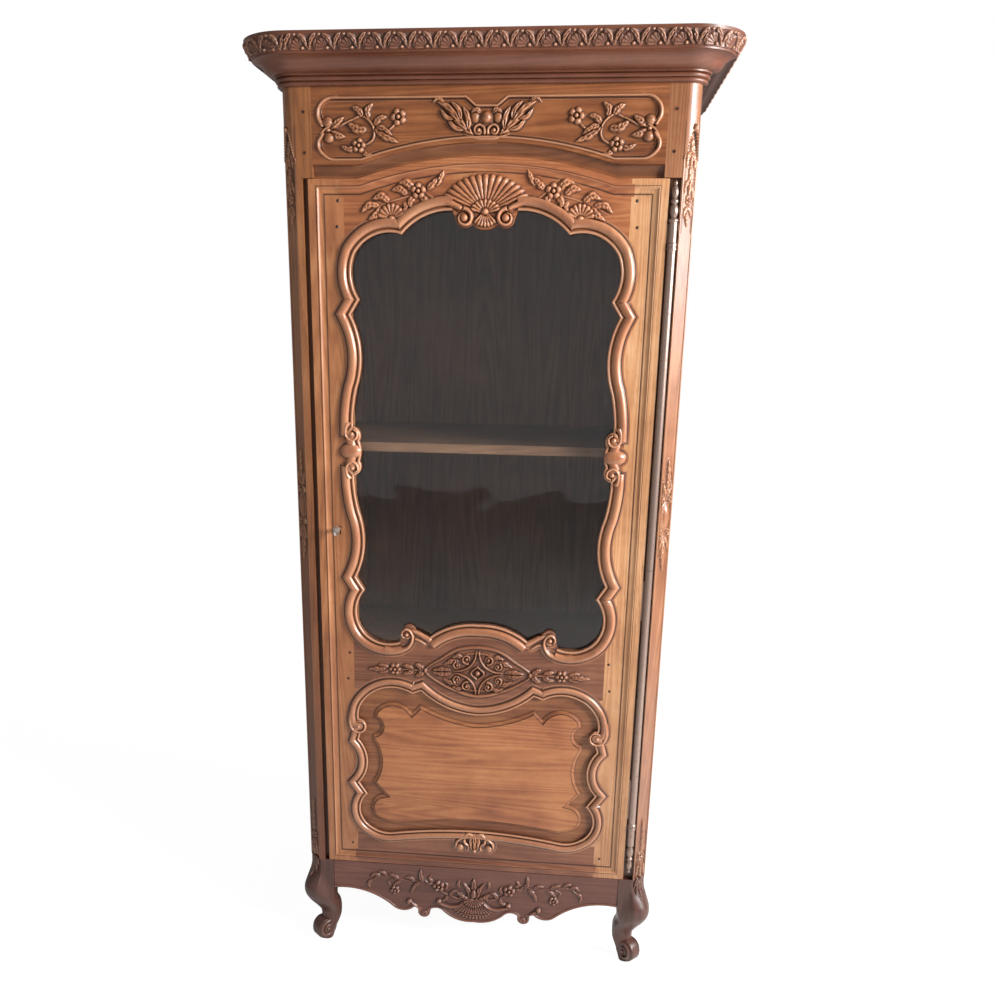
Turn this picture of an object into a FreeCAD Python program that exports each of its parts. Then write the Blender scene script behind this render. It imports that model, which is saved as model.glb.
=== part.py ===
import FreeCAD, Part
import math
import os
import Sketcher

# Tall single-door display cabinet in carved provincial style.
# Every piece is drawn in the door frame: x = 0 on the centre line, y = 0 on the door's
# front face with +y towards the wall, z = 0 on the door's bottom edge. A placement then
# carries it to the part's own frame, whose origin is on the floor at the centre of the box.

doc = FreeCAD.newDocument("display_cabinet")
V = FreeCAD.Vector

# Driving dimensions, in millimetres

DIMENSIONS = {
    "overall_height": 2037,     # floor to the top of the cornice
    "body_width": 826,          # across the outer faces of the posts
    "body_depth": 560,          # post front to back boards
    "leg_height": 240,          # floor to the door's bottom edge
    "post_width": 64,           # front post, across the front
    "post_depth": 62,           # front post, front to back
    "rear_post": 50,            # rear post, square
    "corner_round": 32,         # radius of the front corner at frieze level
    "corner_cant": 30,          # chamfer of the front corner beside the door
    "cant_top": 1600,           # height over the door's bottom where the chamfer stops
    "recess_depth": 12.5,       # rebate in the posts behind the door's lip
    "recess_right": 383,        # outer edge of the channel that the hinge rod stands in
    "recess_left": 371,         # outer edge of the rebate on the lock side
    "frame_thickness": 30,      # frieze and apron
    "side_thickness": 24,       # side rails
    "side_inset": 4,            # side rails behind the post face
    "panel_thickness": 10,      # side panels, back boards and their grooves
    "groove_depth": 8,
    "tenon_length": 20,
    "tenon_thickness": 12,
    "rail_tenon": 30,           # tenons of the frieze and of the door rails
    "door_width": 720,
    "door_height": 1550,        # at the shoulders of the arch
    "arch_rise": 41,
    "arch_half": 258,
    "door_thickness": 30,
    "lip_depth": 12,            # front part of the door, which laps the frame
    "lip_overlap": 11,
    "door_gap": 2,
    "stile_width": 72,
    "sight_depth": 16,          # wood in front of the glass
    "glass_half_width": 286,
    "glass_bottom": 562,
    "glass_top": 1500,
    "glass_thickness": 3,
    "glass_clear": 1,
    "bead_width": 8,
    "panel_half": 295.5,
    "panel_bottom": 70.5,
    "panel_top": 469.5,
    "panel_clear": 0.5,
    "panel_front": 12,          # wood in front of the door panel's groove
    "panel_groove": 10,
    "peg_radius": 3.1,
    "peg_proud": 0.8,
    "cornice_overhang": 72,
    "cornice_height": 80,
    "top_board": 16,
    "floor_board": 18,
    "shelf_thickness": 20,
    "upper_shelf": 1020,        # top of the shelf over the door's bottom edge
    "lower_shelf": 512,
    "shelf_front": 64,
    "shelf_clear": 1,
    "cleat_width": 24,
    "cleat_height": 22,
    "hinge_x": 372,
    "hinge_y": 2,
    "barrel_radius": 8.3,
    "collar_radius": 9.8,
    "pin_radius": 4.5,
    "running_gap": 0.25,        # between a washer and the hinge half that turns on it
    "pin_length": 88,
    "washer": 2,
    "leaf_thickness": 2.5,
    "leaf_reach": 40,           # back edge of the leaves let into the post
    "leaf_end": 332,            # inner edge of the leaves let into the stile
    "leaf_front": 5,            # wood in front of the stile's leaves
    "key_x": -313,
    "key_height": 836,
    "lock_left": -344,
    "lock_base": 791,
    "lock_width": 60,
    "lock_height": 90,
    "lock_depth": 14,
    "lock_wall": 2,
    "bolt_height": 15,
    "bolt_thickness": 6,
    "bolt_length": 44,
    "bolt_front": 33,
    "bolt_base": 850.5,
    "bolt_travel": 12,
    "bolt_room": 2,
    "lock_screw": 2,
    "strike_plate": 2,
    "strike_depth": 22,
    "key_shank": 3,
    "keyhole": 4,
}

sheet = doc.addObject("Spreadsheet::Sheet", "dims")
for row, (alias, value) in enumerate(DIMENSIONS.items(), start=1):
    sheet.set(f"A{row}", alias)
    sheet.set(f"B{row}", str(value))
    sheet.setAlias(f"B{row}", alias)
doc.recompute()

D = DIMENSIONS

# Expressions that many pieces share

FRONT = "((dims.cornice_overhang - dims.body_depth) / 2)"
BASE = "dims.leg_height"
HALF = "(dims.body_width / 2)"
INNER = "(dims.body_width / 2 - dims.post_width)"
REAR_INNER = "(dims.body_width / 2 - dims.rear_post)"
REAR = "(dims.body_depth - dims.rear_post)"
FLOOR = "(-dims.leg_height)"
POST_TOP = "(dims.overall_height - dims.leg_height - 24)"
SIDE_OUTER = "(dims.body_width / 2 - dims.side_inset)"
SIDE_INNER = "(dims.body_width / 2 - dims.side_inset - dims.side_thickness)"
GROOVE_OUTER = "(dims.body_width / 2 - dims.side_inset - 6)"
GROOVE_INNER = "(dims.body_width / 2 - dims.side_inset - 6 - dims.panel_thickness)"
SHOULDER = "(dims.door_width / 2 - dims.stile_width)"
DOOR_EDGE = "(dims.door_width / 2)"

# Heights of the side rails over the door's bottom edge: bottom, top

SIDE_RAILS = {"bottom": (-75, 22), "middle": (770, 840), "top": (1650, 1773)}
KNEE_BASE = -75
FRIEZE_TENON = (1580, 1700)
APRON_TENON = (-62, -6)

sub_parts = []


def keep(thing, label):
    """Lists a finished sub-part under its own label."""
    thing.Label = label
    sub_parts.append(thing)
    return thing


def text(value):
    """Writes a number or an expression as an expression."""
    return value if isinstance(value, str) else repr(float(value))


# Plain solids


def place(thing, x, y, z):
    """Binds a primitive's place, given in the door frame."""
    thing.setExpression(".Placement.Base.x", text(x))
    thing.setExpression(".Placement.Base.y", f"{FRONT} + ({text(y)})")
    thing.setExpression(".Placement.Base.z", f"{BASE} + ({text(z)})")


def box(name, x, y, z):
    """Adds a box between two values along each axis."""
    thing = doc.addObject("Part::Box", name)
    for prop, (low, high) in zip(("Length", "Width", "Height"), (x, y, z)):
        thing.setExpression(prop, f"({text(high)}) - ({text(low)})")
    place(thing, x[0], y[0], z[0])
    return thing


AIM = {
    "x": FreeCAD.Rotation(V(0, 1, 0), 90),
    "y": FreeCAD.Rotation(V(1, 0, 0), -90),
    "z": FreeCAD.Rotation(),
}


def rod(name, axis, start, radius, length):
    """Adds a cylinder that runs from a point along an axis."""
    thing = doc.addObject("Part::Cylinder", name)
    thing.Placement = FreeCAD.Placement(V(0, 0, 0), AIM[axis])
    thing.setExpression("Radius", text(radius))
    thing.setExpression("Height", text(length))
    place(thing, *start)
    return thing


def join(name, things):
    """Fuses several solids, or holds loose ones as one group."""
    joined = doc.addObject("Part::MultiFuse", name)
    joined.Shapes = things
    return joined


def cut(name, base, tools):
    """Cuts one or more solids from a base."""
    result = doc.addObject("Part::Cut", name)
    result.Base = base
    result.Tool = tools[0] if len(tools) == 1 else join(name + "_tools", tools)
    return result


# Sketched solids


def body(label):
    """Adds a body that is drawn in the door frame."""
    made = doc.addObject("PartDesign::Body", label)
    made.setExpression(".Placement.Base.y", FRONT)
    made.setExpression(".Placement.Base.z", BASE)
    return keep(made, label)


PLANES = {"y": ("XZ_Plane", "-"), "z": ("XY_Plane", ""), "x": ("YZ_Plane", "")}


def sketch_on(owner, axis, level):
    """Adds a sketch on the body's own plane across an axis, moved along it."""
    role, sign = PLANES[axis]
    plane = next(f for f in owner.Origin.OriginFeatures if f.Role == role)
    made = owner.newObject("Sketcher::SketchObject", f"{owner.Name}_sketch")
    made.AttachmentSupport = (plane, [""])
    made.MapMode = "FlatFace"
    made.setExpression(".AttachmentOffset.Base.z", f"{sign}({text(level)})")
    return made


def rectangle(low, high):
    """Returns a drawing of a rectangle whose two corners follow expressions."""
    def draw(sketch):
        first = sketch.GeometryCount
        corners = [V(0, 0, 0), V(1, 0, 0), V(1, 1, 0), V(0, 1, 0)]
        for n in range(4):
            sketch.addGeometry(Part.LineSegment(corners[n], corners[(n + 1) % 4]))
        for n in range(4):
            after = first + (n + 1) % 4
            sketch.addConstraint(Sketcher.Constraint("Coincident", first + n, 2, after, 1))
            kind = "Horizontal" if n % 2 == 0 else "Vertical"
            sketch.addConstraint(Sketcher.Constraint(kind, first + n))
        for edge, corner in ((first, low), (first + 2, high)):
            for kind, value in zip(("DistanceX", "DistanceY"), corner):
                number = sketch.addConstraint(
                    Sketcher.Constraint(kind, -1, 1, edge, 1, 1.0))
                sketch.setExpression(f"Constraints[{number}]", text(value))
    return draw


def circles(centres, radius):
    """Returns a drawing of equal circles."""
    def draw(sketch):
        for x, y in centres:
            number = sketch.addGeometry(Part.Circle(V(x, y, 0), V(0, 0, 1), 1.0))
            sized = sketch.addConstraint(Sketcher.Constraint("Radius", number, 1.0))
            sketch.setExpression(f"Constraints[{sized}]", text(radius))
    return draw


def outline(start, steps):
    """Returns a drawing of a closed outline: a step is (end,) or, for an arc, (via, end)."""
    def draw(sketch):
        here = V(*start, 0)
        for *via, end in steps:
            there = V(*end, 0)
            if via:
                sketch.addGeometry(Part.Arc(here, V(*via[0], 0), there))
            else:
                sketch.addGeometry(Part.LineSegment(here, there))
            here = there
    return draw


def polygon(points):
    """Returns a drawing of a closed polygon."""
    return outline(points[-1], [(point,) for point in points])


def both(*drawings):
    """Puts several drawings into one sketch."""
    def draw(sketch):
        for drawing in drawings:
            drawing(sketch)
    return draw


def mirrored(start, steps):
    """Closes an outline drawn down the right-hand side with its mirror image."""
    points = [start] + [step[-1] for step in steps]
    back = []
    for step, target in zip(reversed(steps), reversed(points[:-1])):
        via = [(-x, z) for x, z in step[:-1]]
        back.append((*via, (-target[0], target[1])))
    return outline(start, list(steps) + back)


def sided(points, side):
    """Carries right-hand points to the side asked for."""
    return [(side * x, y) for x, y in points]


def add(owner, axis, level, length, drawing):
    """Pads a drawing in the positive direction of an axis."""
    profile = sketch_on(owner, axis, level)
    drawing(profile)
    pad = owner.newObject("PartDesign::Pad", f"{owner.Name}_pad")
    pad.Profile = profile
    pad.setExpression("Length", text(length))
    pad.Reversed = axis == "y"
    return pad


def remove(owner, axis, level, length, drawing):
    """Pockets a drawing in the positive direction of an axis."""
    profile = sketch_on(owner, axis, level)
    drawing(profile)
    pocket = owner.newObject("PartDesign::Pocket", f"{owner.Name}_pocket")
    pocket.Profile = profile
    pocket.setExpression("Length", text(length))
    pocket.Reversed = axis != "y"
    return pocket


def turn(owner, drawing, angle=360.0):
    """Revolves a drawing of the front plane about the body's own vertical axis."""
    profile = sketch_on(owner, "y", 0)
    drawing(profile)
    turned = owner.newObject("PartDesign::Revolution", f"{owner.Name}_turned")
    turned.Profile = profile
    turned.ReferenceAxis = (profile, ["V_Axis"])
    turned.Angle = angle
    return turned


# Outlines read off the front of the door, right-hand half, in the door frame

GLASS_SIGHT_START = (0, 1457)
GLASS_SIGHT = [
    ((14, 1459), (25, 1467)),
    ((44, 1460), (60, 1478)),
    ((66, 1492),),
    ((122, 1482), (170, 1447)),
    ((226, 1445), (268, 1410)),
    ((276, 1370), (260, 1320)),
    ((279, 1290),),
    ((259.5, 1228), (269, 1140)),
    ((276, 1103), (279, 1060)),
    ((263, 1044), (266, 1029)),
    ((262, 1007), (266, 985)),
    ((263, 970), (279, 954)),
    ((276, 911), (269, 874)),
    ((259.5, 786), (279, 724)),
    ((260, 694),),
    ((279, 645), (262, 594)),
    ((226, 572), (180, 575)),
    ((175, 596),),
    ((160, 615), (144, 602)),
    ((116, 585),),
    ((65, 615), (0, 624)),
]

PANEL_SIGHT_START = (0, 403)
PANEL_SIGHT = [
    ((70, 418), (131, 457)),
    ((152, 449),),
    ((222, 458), (268, 425)),
    ((279, 402), (280, 379)),
    ((262, 362), (276, 344)),
    ((281, 326),),
    ((260, 266), (282, 214)),
    ((262, 185),),
    ((280, 140), (252, 95)),
    ((226, 84), (200, 84)),
    ((100, 97), (0, 102)),
]

PANEL_FIELD_START = (0, 380)
PANEL_FIELD = [
    ((65, 392), (133, 421)),
    ((153, 401),),
    ((196, 424), (243, 398)),
    ((244, 382),),
    ((228, 362), (248, 340)),
    ((249, 325),),
    ((233, 266), (251, 216)),
    ((224, 184),),
    ((255, 146), (228, 112)),
    ((200, 105),),
    ((100, 117), (0, 124)),
]

FRIEZE_PANEL_START = (0, 1683)
FRIEZE_PANEL = [
    ((20, 1683),),
    ((40, 1699),),
    ((308, 1699),),
    ((337, 1672), (318, 1645)),
    ((337, 1613), (308, 1583)),
    ((250, 1583),),
    ((130, 1612), (0, 1623)),
]


def arched(half, bottom, shoulder, crown, arch_half):
    """Outline with a flat foot and an arched head between two shoulders."""
    return outline((-half, bottom), [
        ((half, bottom),),
        ((half, shoulder),),
        ((arch_half, shoulder),),
        ((0, crown), (-arch_half, shoulder)),
        ((-half, shoulder),),
        ((-half, bottom),),
    ])


# Pegs through the joints of the case: across and up for the front, heights for the sides

FRAME_PEGS = [(364.5, 1672), (364.5, 1598)]
SIDE_PEGS = [-50, -3, 793, 817, 1675, 1700]
SIDE_PEG_DEPTHS = (52, 520)

# Strike plate and its bolt hole in the left-hand post

STRIKE_HEIGHTS = (830, 886)
BOLT_HOLE_HEIGHTS = (849, 868)
BOLT_HOLE_DEPTHS = (32, 41)

# Heights of the hinge leaves, bottom and top, let into the door's stile and into the post

DOOR_LEAVES = {"upper": [(1432, 1468)], "lower": [(160, 260), (650, 740)]}
FRAME_LEAVES = {"upper": [(790, 880), (1320, 1410)], "lower": [(100, 138)]}

# Front posts, each with its cabriole leg

LEG_CENTRE = (381, 31)
# Leg sections: height, how far the centre stands out along the diagonal, half width
LEG_SECTIONS = [
    (-25, 0, 30), (-60, 6, 36), (-80, 10, 38), (-100, 10, 36), (-120, 4, 34),
    (-140, -5, 31), (-160, -11, 26), (-185, -11, 24), (-212, -5, 20), (-240, 0, 17),
]
SCROLL_HEIGHT = -203
SCROLL_RADIUS = 25
SCROLL_WIDTH = 40
SCROLL_OUT = 3


def leg_section(side, out, half):
    """Chamfered square about the leg's shifted centre."""
    cx, cy = LEG_CENTRE[0] + out, LEG_CENTRE[1] - out
    c = half * 0.4
    corners = [
        (half, c), (c, half), (-c, half), (-half, c),
        (-half, -c), (-c, -half), (c, -half), (half, -c),
    ]
    return polygon(sided([(cx + x, cy + y) for x, y in corners], side))


def cabriole_leg(owner, side):
    """Lofts the leg below the post and adds its scrolled toe."""
    sections = []
    for height, out, half in LEG_SECTIONS:
        section = sketch_on(owner, "z", height)
        leg_section(side, out, half)(section)
        sections.append(section)
    loft = owner.newObject("PartDesign::AdditiveLoft", f"{owner.Name}_leg")
    loft.Profile = sections[0]
    loft.Sections = sections[1:]
    across = V(side, 1, 0).normalize()
    centre = V(side * (LEG_CENTRE[0] + SCROLL_OUT), LEG_CENTRE[1] - SCROLL_OUT, SCROLL_HEIGHT)
    toe = owner.newObject("PartDesign::AdditiveCylinder", f"{owner.Name}_toe")
    toe.Radius = SCROLL_RADIUS
    toe.Height = SCROLL_WIDTH
    toe.Placement = FreeCAD.Placement(
        centre - across * (SCROLL_WIDTH / 2), FreeCAD.Rotation(V(0, 0, 1), across))


def front_post(side, recess):
    """Post with its rebate, chamfered corner, mortises and leg."""
    post = body(f"front_post_{'right' if side > 0 else 'left'}")
    inner, outer = f"{side} * {INNER}", f"{side} * {HALF}"
    add(post, "z", KNEE_BASE, f"{POST_TOP} - ({KNEE_BASE})",
        rectangle((inner, 0), (outer, "dims.post_depth")))
    half = D["body_width"] / 2
    round_from = half - D["corner_round"]
    curve = D["corner_round"] * (1 - math.sqrt(0.5))
    rounded = [
        ((half, 0),),
        ((half, D["corner_round"]),),
        ((half - curve, curve), (round_from, 0)),
    ]
    steps = [tuple(sided(step, side)) for step in rounded]
    remove(post, "z", "dims.cant_top", f"{POST_TOP} - dims.cant_top + 1",
           outline((side * round_from, 0), steps))
    cant = D["corner_cant"]
    remove(post, "z", KNEE_BASE - 1, f"dims.cant_top - ({KNEE_BASE - 1})",
           polygon(sided([(half - cant, 0), (half, 0), (half, cant)], side)))
    remove(post, "y", 0, "dims.recess_depth",
           rectangle((inner, -1.5), (f"{side} * {recess}", "dims.door_height + 1.5")))
    cabriole_leg(post, side)
    tenon_end = f"{side} * ({INNER} + dims.rail_tenon)"
    for low, high in (FRIEZE_TENON, APRON_TENON):
        remove(post, "y", 14, "dims.tenon_thickness",
               rectangle((inner, low), (tenon_end, high)))
    remove(post, "y", 0, "dims.frame_thickness - 2",
           circles(sided(FRAME_PEGS, side), "dims.peg_radius"))
    mortise_sides(post, side, "dims.post_depth - dims.tenon_length")
    remove(post, "y", "dims.post_depth - dims.groove_depth", "dims.groove_depth",
           rectangle((f"{side} * {GROOVE_INNER}", SIDE_RAILS["bottom"][1]),
                     (f"{side} * {GROOVE_OUTER}", SIDE_RAILS["top"][0])))
    peg_holes(post, side, SIDE_PEG_DEPTHS[0])
    return post


def peg_holes(owner, side, depth):
    """Bores the holes for the pegs that pin the side rails' tenons."""
    start = SIDE_INNER if side > 0 else f"-{HALF} - 1"
    remove(owner, "x", start, f"{HALF} - {SIDE_INNER} + 1",
           circles([(depth, level) for level in SIDE_PEGS], "dims.peg_radius"))


def mortise_sides(owner, side, front):
    """Cuts the three mortises that take the side rails' tenons."""
    for low, high in SIDE_RAILS.values():
        remove(owner, "y", front, "dims.tenon_length",
               rectangle((f"{side} * ({SIDE_INNER} + 6)", low + 12),
                         (f"{side} * ({SIDE_INNER} + 18)", high - 12)))


def rear_post(side):
    """Square post that runs straight to the floor."""
    name = "right" if side > 0 else "left"
    post = body(f"rear_post_{name}")
    add(post, "z", FLOOR, f"{POST_TOP} + dims.leg_height",
        rectangle((f"{side} * {REAR_INNER}", REAR), (f"{side} * {HALF}", "dims.body_depth")))
    mortise_sides(post, side, REAR)
    remove(post, "y", REAR, "dims.groove_depth",
           rectangle((f"{side} * {GROOVE_INNER}", SIDE_RAILS["bottom"][1]),
                     (f"{side} * {GROOVE_OUTER}", SIDE_RAILS["top"][0])))
    remove(post, "y", BACK_GROOVE, "dims.panel_thickness",
           rectangle((f"{side} * {REAR_INNER}", BACK_RAILS["bottom"][0] + 12),
                     (f"{side} * ({REAR_INNER} + dims.groove_depth)",
                      BACK_RAILS["top"][1] - 12)))
    peg_holes(post, side, SIDE_PEG_DEPTHS[1])


# Back frame: rail heights over the door's bottom edge

BACK_RAILS = {"bottom": (-75, 22), "top": (1650, 1773)}
BACK_GROOVE = "(dims.body_depth - 24)"
BACK_RAIL_FRONT = "(dims.body_depth - 30)"
BACK_BOARDS = 4

right_post = front_post(1, "dims.recess_right")
for low, high in FRAME_LEAVES["upper"] + FRAME_LEAVES["lower"]:
    remove(right_post, "y", "dims.recess_depth", "dims.leaf_reach - dims.recess_depth",
           rectangle(("dims.hinge_x - dims.leaf_thickness / 2", low),
                     ("dims.hinge_x + dims.leaf_thickness / 2", high)))

STRIKE_FRONT = "(dims.door_thickness - 4)"
BOLT_END = f"(-{INNER} - dims.strike_plate - dims.bolt_travel)"
left_post = front_post(-1, "dims.recess_left")
remove(left_post, "y", STRIKE_FRONT, "dims.strike_depth",
       rectangle((f"-{INNER} - dims.strike_plate", STRIKE_HEIGHTS[0]),
                 (f"-{INNER}", STRIKE_HEIGHTS[1])))
remove(left_post, "y", BOLT_HOLE_DEPTHS[0], BOLT_HOLE_DEPTHS[1] - BOLT_HOLE_DEPTHS[0],
       rectangle((f"{BOLT_END} - dims.bolt_room", BOLT_HOLE_HEIGHTS[0]),
                 (f"-{INNER} - dims.strike_plate", BOLT_HOLE_HEIGHTS[1])))
for side in (1, -1):
    rear_post(side)

# Front rails of the case


def frieze_rail():
    """Top front rail, arched below, with a sunk panel for its carving."""
    rail = body("frieze_rail")
    half = D["body_width"] / 2 - D["post_width"]
    overlap = D["lip_overlap"]
    shoulder = D["door_height"] - overlap
    crown = shoulder + D["arch_rise"]
    top = D["overall_height"] - D["leg_height"] - 24
    reach = D["arch_half"] - 4
    add(rail, "y", 0, "dims.frame_thickness", outline((-half, shoulder), [
        ((-half, top),),
        ((half, top),),
        ((half, shoulder),),
        ((reach, shoulder),),
        ((0, crown), (-reach, shoulder)),
        ((-half, shoulder),),
    ]))
    add(rail, "y", 14, "dims.tenon_thickness",
        rectangle((f"-{INNER} - dims.rail_tenon", FRIEZE_TENON[0]),
                  (f"{INNER} + dims.rail_tenon", FRIEZE_TENON[1])))
    edge = D["door_height"] + 1.5
    remove(rail, "y", 0, "dims.recess_depth",
           arched(half, shoulder - 5, edge, edge + D["arch_rise"], D["arch_half"] + 1))
    remove(rail, "y", 0, 3, mirrored(FRIEZE_PANEL_START, FRIEZE_PANEL))
    remove(rail, "y", 13, 14, circles(
        sided(FRAME_PEGS, 1) + sided(FRAME_PEGS, -1), "dims.peg_radius"))


APRON_EDGE_START = (0, -150)
APRON_EDGE = [
    ((38, -147), (78, -122)),
    ((95, -117), (110, -124)),
    ((122, -145), (136, -122)),
    ((148, -118),),
    ((172, -130), (200, -122)),
    ((262, -86), (349, -79)),
]


def apron_rail():
    """Bottom front rail with its scalloped lower edge."""
    rail = body("apron_rail")
    half = D["body_width"] / 2 - D["post_width"]
    right = APRON_EDGE + [((half, D["lip_overlap"]),), ((0, D["lip_overlap"]),)]
    add(rail, "y", 0, "dims.frame_thickness", mirrored(APRON_EDGE_START, right))
    add(rail, "y", 14, "dims.tenon_thickness",
        rectangle((f"-{INNER} - dims.rail_tenon", APRON_TENON[0]),
                  (f"{INNER} + dims.rail_tenon", APRON_TENON[1])))
    remove(rail, "y", 0, "dims.recess_depth",
           rectangle((f"-{INNER} - 1", -1.5), (f"{INNER} + 1", "dims.lip_overlap + 1")))


frieze_rail()
apron_rail()

# Side frames: three rails and two panels on each side

SIDE_APRON = [
    ((62, -66),),
    ((110, -48), (170, -62)),
    ((286, -98), (402, -62)),
    ((462, -48), (510, -66)),
    ((510, 22),),
]


def side_frame(side):
    """Rails tenoned between the posts, with panels in grooves between the rails."""
    name = "right" if side > 0 else "left"
    x_rail = (f"{side} * {SIDE_INNER}", f"{side} * {SIDE_OUTER}")
    x_tenon = (f"{side} * ({SIDE_INNER} + 6)", f"{side} * ({SIDE_INNER} + 18)")
    x_groove = (f"{side} * {GROOVE_INNER}", f"{side} * {GROOVE_OUTER}")
    if side < 0:
        x_rail, x_tenon, x_groove = x_rail[::-1], x_tenon[::-1], x_groove[::-1]
    for level, (low, high) in SIDE_RAILS.items():
        rail = body(f"side_{level}_rail_{name}")
        pegs = [peg for peg in SIDE_PEGS if low < peg < high]
        if level == "bottom":
            shape = outline((62, 22), SIDE_APRON + [((62, 22),)])
        else:
            shape = rectangle(("dims.post_depth", low), (REAR, high))
        add(rail, "x", x_rail[0], "dims.side_thickness", shape)
        add(rail, "x", x_tenon[0], 12,
            rectangle(("dims.post_depth - dims.tenon_length", low + 12),
                      (f"{REAR} + dims.tenon_length", high - 12)))
        remove(rail, "x", x_tenon[0], 12,
               circles([(depth, peg) for depth in SIDE_PEG_DEPTHS for peg in pegs],
                       "dims.peg_radius"))
        grooves = []
        if level != "top":
            grooves.append((f"{high} - dims.groove_depth", high + 1))
        if level != "bottom":
            grooves.append((low - 1, f"{low} + dims.groove_depth"))
        for bottom, top in grooves:
            remove(rail, "x", x_groove[0], "dims.panel_thickness",
                   rectangle(("dims.post_depth", bottom), (REAR, top)))
    y_panel = ("dims.post_depth - dims.groove_depth", f"{REAR} + dims.groove_depth")
    bounds = {
        "lower": (SIDE_RAILS["bottom"][1], SIDE_RAILS["middle"][0]),
        "upper": (SIDE_RAILS["middle"][1], SIDE_RAILS["top"][0]),
    }
    for level, (low, high) in bounds.items():
        z_panel = (f"{low} - dims.groove_depth", f"{high} + dims.groove_depth")
        plain = box(f"side_panel_{level}_{name}_blank", x_groove, y_panel, z_panel)
        notches = []
        for end, (y0, y1) in enumerate(((y_panel[0], "dims.post_depth"), (REAR, y_panel[1]))):
            for edge, (z0, z1) in enumerate(((z_panel[0], low), (high, z_panel[1]))):
                notches.append(box(f"panel_notch_{level}_{name}_{end}_{edge}",
                                   x_groove, (y0, y1), (z0, z1)))
        keep(cut(f"side_panel_{level}_{name}", plain, notches),
             f"side_panel_{level}_{name}")


for side in (1, -1):
    side_frame(side)


def back_frame():
    """Two rails between the rear posts and upright boards in their grooves."""
    x_groove = (f"-{REAR_INNER} - dims.groove_depth", f"{REAR_INNER} + dims.groove_depth")
    for level, (low, high) in BACK_RAILS.items():
        rail = body(f"back_{level}_rail")
        add(rail, "y", BACK_RAIL_FRONT, 22,
            rectangle((f"-{REAR_INNER}", low), (REAR_INNER, high)))
        add(rail, "y", BACK_GROOVE, "dims.panel_thickness",
            rectangle((x_groove[0], low + 12), (x_groove[1], high - 12)))
        groove = (high - 12, high + 1) if level == "bottom" else (low - 1, low + 12)
        remove(rail, "y", BACK_GROOVE, "dims.panel_thickness",
               rectangle((x_groove[0], groove[0]), (x_groove[1], groove[1])))
    width = f"(2 * ({REAR_INNER} + dims.groove_depth) / {BACK_BOARDS})"
    z_board = (BACK_RAILS["bottom"][1] - 12, BACK_RAILS["top"][0] + 12)
    for number in range(BACK_BOARDS):
        left = f"{number - BACK_BOARDS / 2} * {width}"
        board = box(f"back_board_{number + 1}", (left, f"{left} + {width}"),
                    (BACK_GROOVE, f"{BACK_GROOVE} + dims.panel_thickness"), z_board)
        keep(board, f"back_board_{number + 1}")


back_frame()

# Boards inside and on top of the case

FLOOR_TOP = "dims.lip_overlap"


def case_boards():
    """Floor board, its battens, the shelves on theirs, and the dust board on top."""
    y_inside = ("dims.post_depth", REAR)
    x_floor = (f"-{SIDE_INNER}", SIDE_INNER)
    z_floor = (f"{FLOOR_TOP} - dims.floor_board", FLOOR_TOP)
    blank = box("floor_board_blank", x_floor, ("dims.frame_thickness", BACK_RAIL_FRONT), z_floor)
    corners = []
    for side, x in (("left", (f"-{SIDE_INNER}", f"-{INNER}")), ("right", (INNER, SIDE_INNER))):
        corners.append(box(f"floor_front_{side}", x,
                           ("dims.frame_thickness", "dims.post_depth"), z_floor))
    for side, x in (("left", (f"-{SIDE_INNER}", f"-{REAR_INNER}")),
                    ("right", (REAR_INNER, SIDE_INNER))):
        corners.append(box(f"floor_rear_{side}", x, (REAR, BACK_RAIL_FRONT), z_floor))
    keep(cut("bottom_board", blank, corners), "bottom_board")
    battens = {
        "floor_battens": f"{FLOOR_TOP} - dims.floor_board",
        "lower_shelf_battens": "dims.lower_shelf - dims.shelf_thickness",
        "upper_shelf_battens": "dims.upper_shelf - dims.shelf_thickness",
    }
    for label, top in battens.items():
        pair = []
        for side, x in (("left", (f"-{SIDE_INNER}", f"-{SIDE_INNER} + dims.cleat_width")),
                        ("right", (f"{SIDE_INNER} - dims.cleat_width", SIDE_INNER))):
            pair.append(box(f"{label}_{side}", x, y_inside, (f"{top} - dims.cleat_height", top)))
        keep(join(label, pair), label)
    for label in ("lower_shelf", "upper_shelf"):
        top = f"dims.{label}"
        shelf = box(f"{label}_board", (f"-{SIDE_INNER} + dims.shelf_clear",
                                       f"{SIDE_INNER} - dims.shelf_clear"),
                    ("dims.shelf_front", f"{REAR} - dims.shelf_clear"),
                    (f"{top} - dims.shelf_thickness", top))
        keep(shelf, label)
    cover = body("top_board")
    half, radius = D["body_width"] / 2, D["corner_round"]
    curve = radius * (1 - math.sqrt(0.5))
    add(cover, "z", POST_TOP, "dims.top_board", mirrored((0, 0), [
        ((half - radius, 0),),
        ((half - curve, curve), (half, radius)),
        ((half, D["body_depth"]),),
        ((0, D["body_depth"]),),
    ]))


case_boards()

# Cornice: one profile, drawn as projection from the case and height above its foot

CORNICE_START = (0, 0)
CORNICE_STEPS = [
    ((6, 0),),
    ((9.5, 4), (6, 8)),
    ((9, 8),),
    ((13, 12), (9, 16)),
    ((16, 17),),
    ((16, 20),),
    ((25, 22), (35, 31)),
    ((45, 41), (57, 45)),
    ((57, 48),),
    ((59, 49),),
    ((63.5, 62), (70, 73)),
    ((72, 74),),
    ((72, 80),),
    ((0, 80),),
    ((0, 0),),
]


def cornice_profile(offset, mirror=1):
    """The profile carried out by an offset from the sketch's upright axis."""
    foot = D["overall_height"] - D["leg_height"] - D["cornice_height"]
    move = lambda point: (mirror * (offset + point[0]), foot + point[1])
    steps = [tuple(move(point) for point in step) for step in CORNICE_STEPS]
    return outline(move(CORNICE_START), steps)


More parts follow.
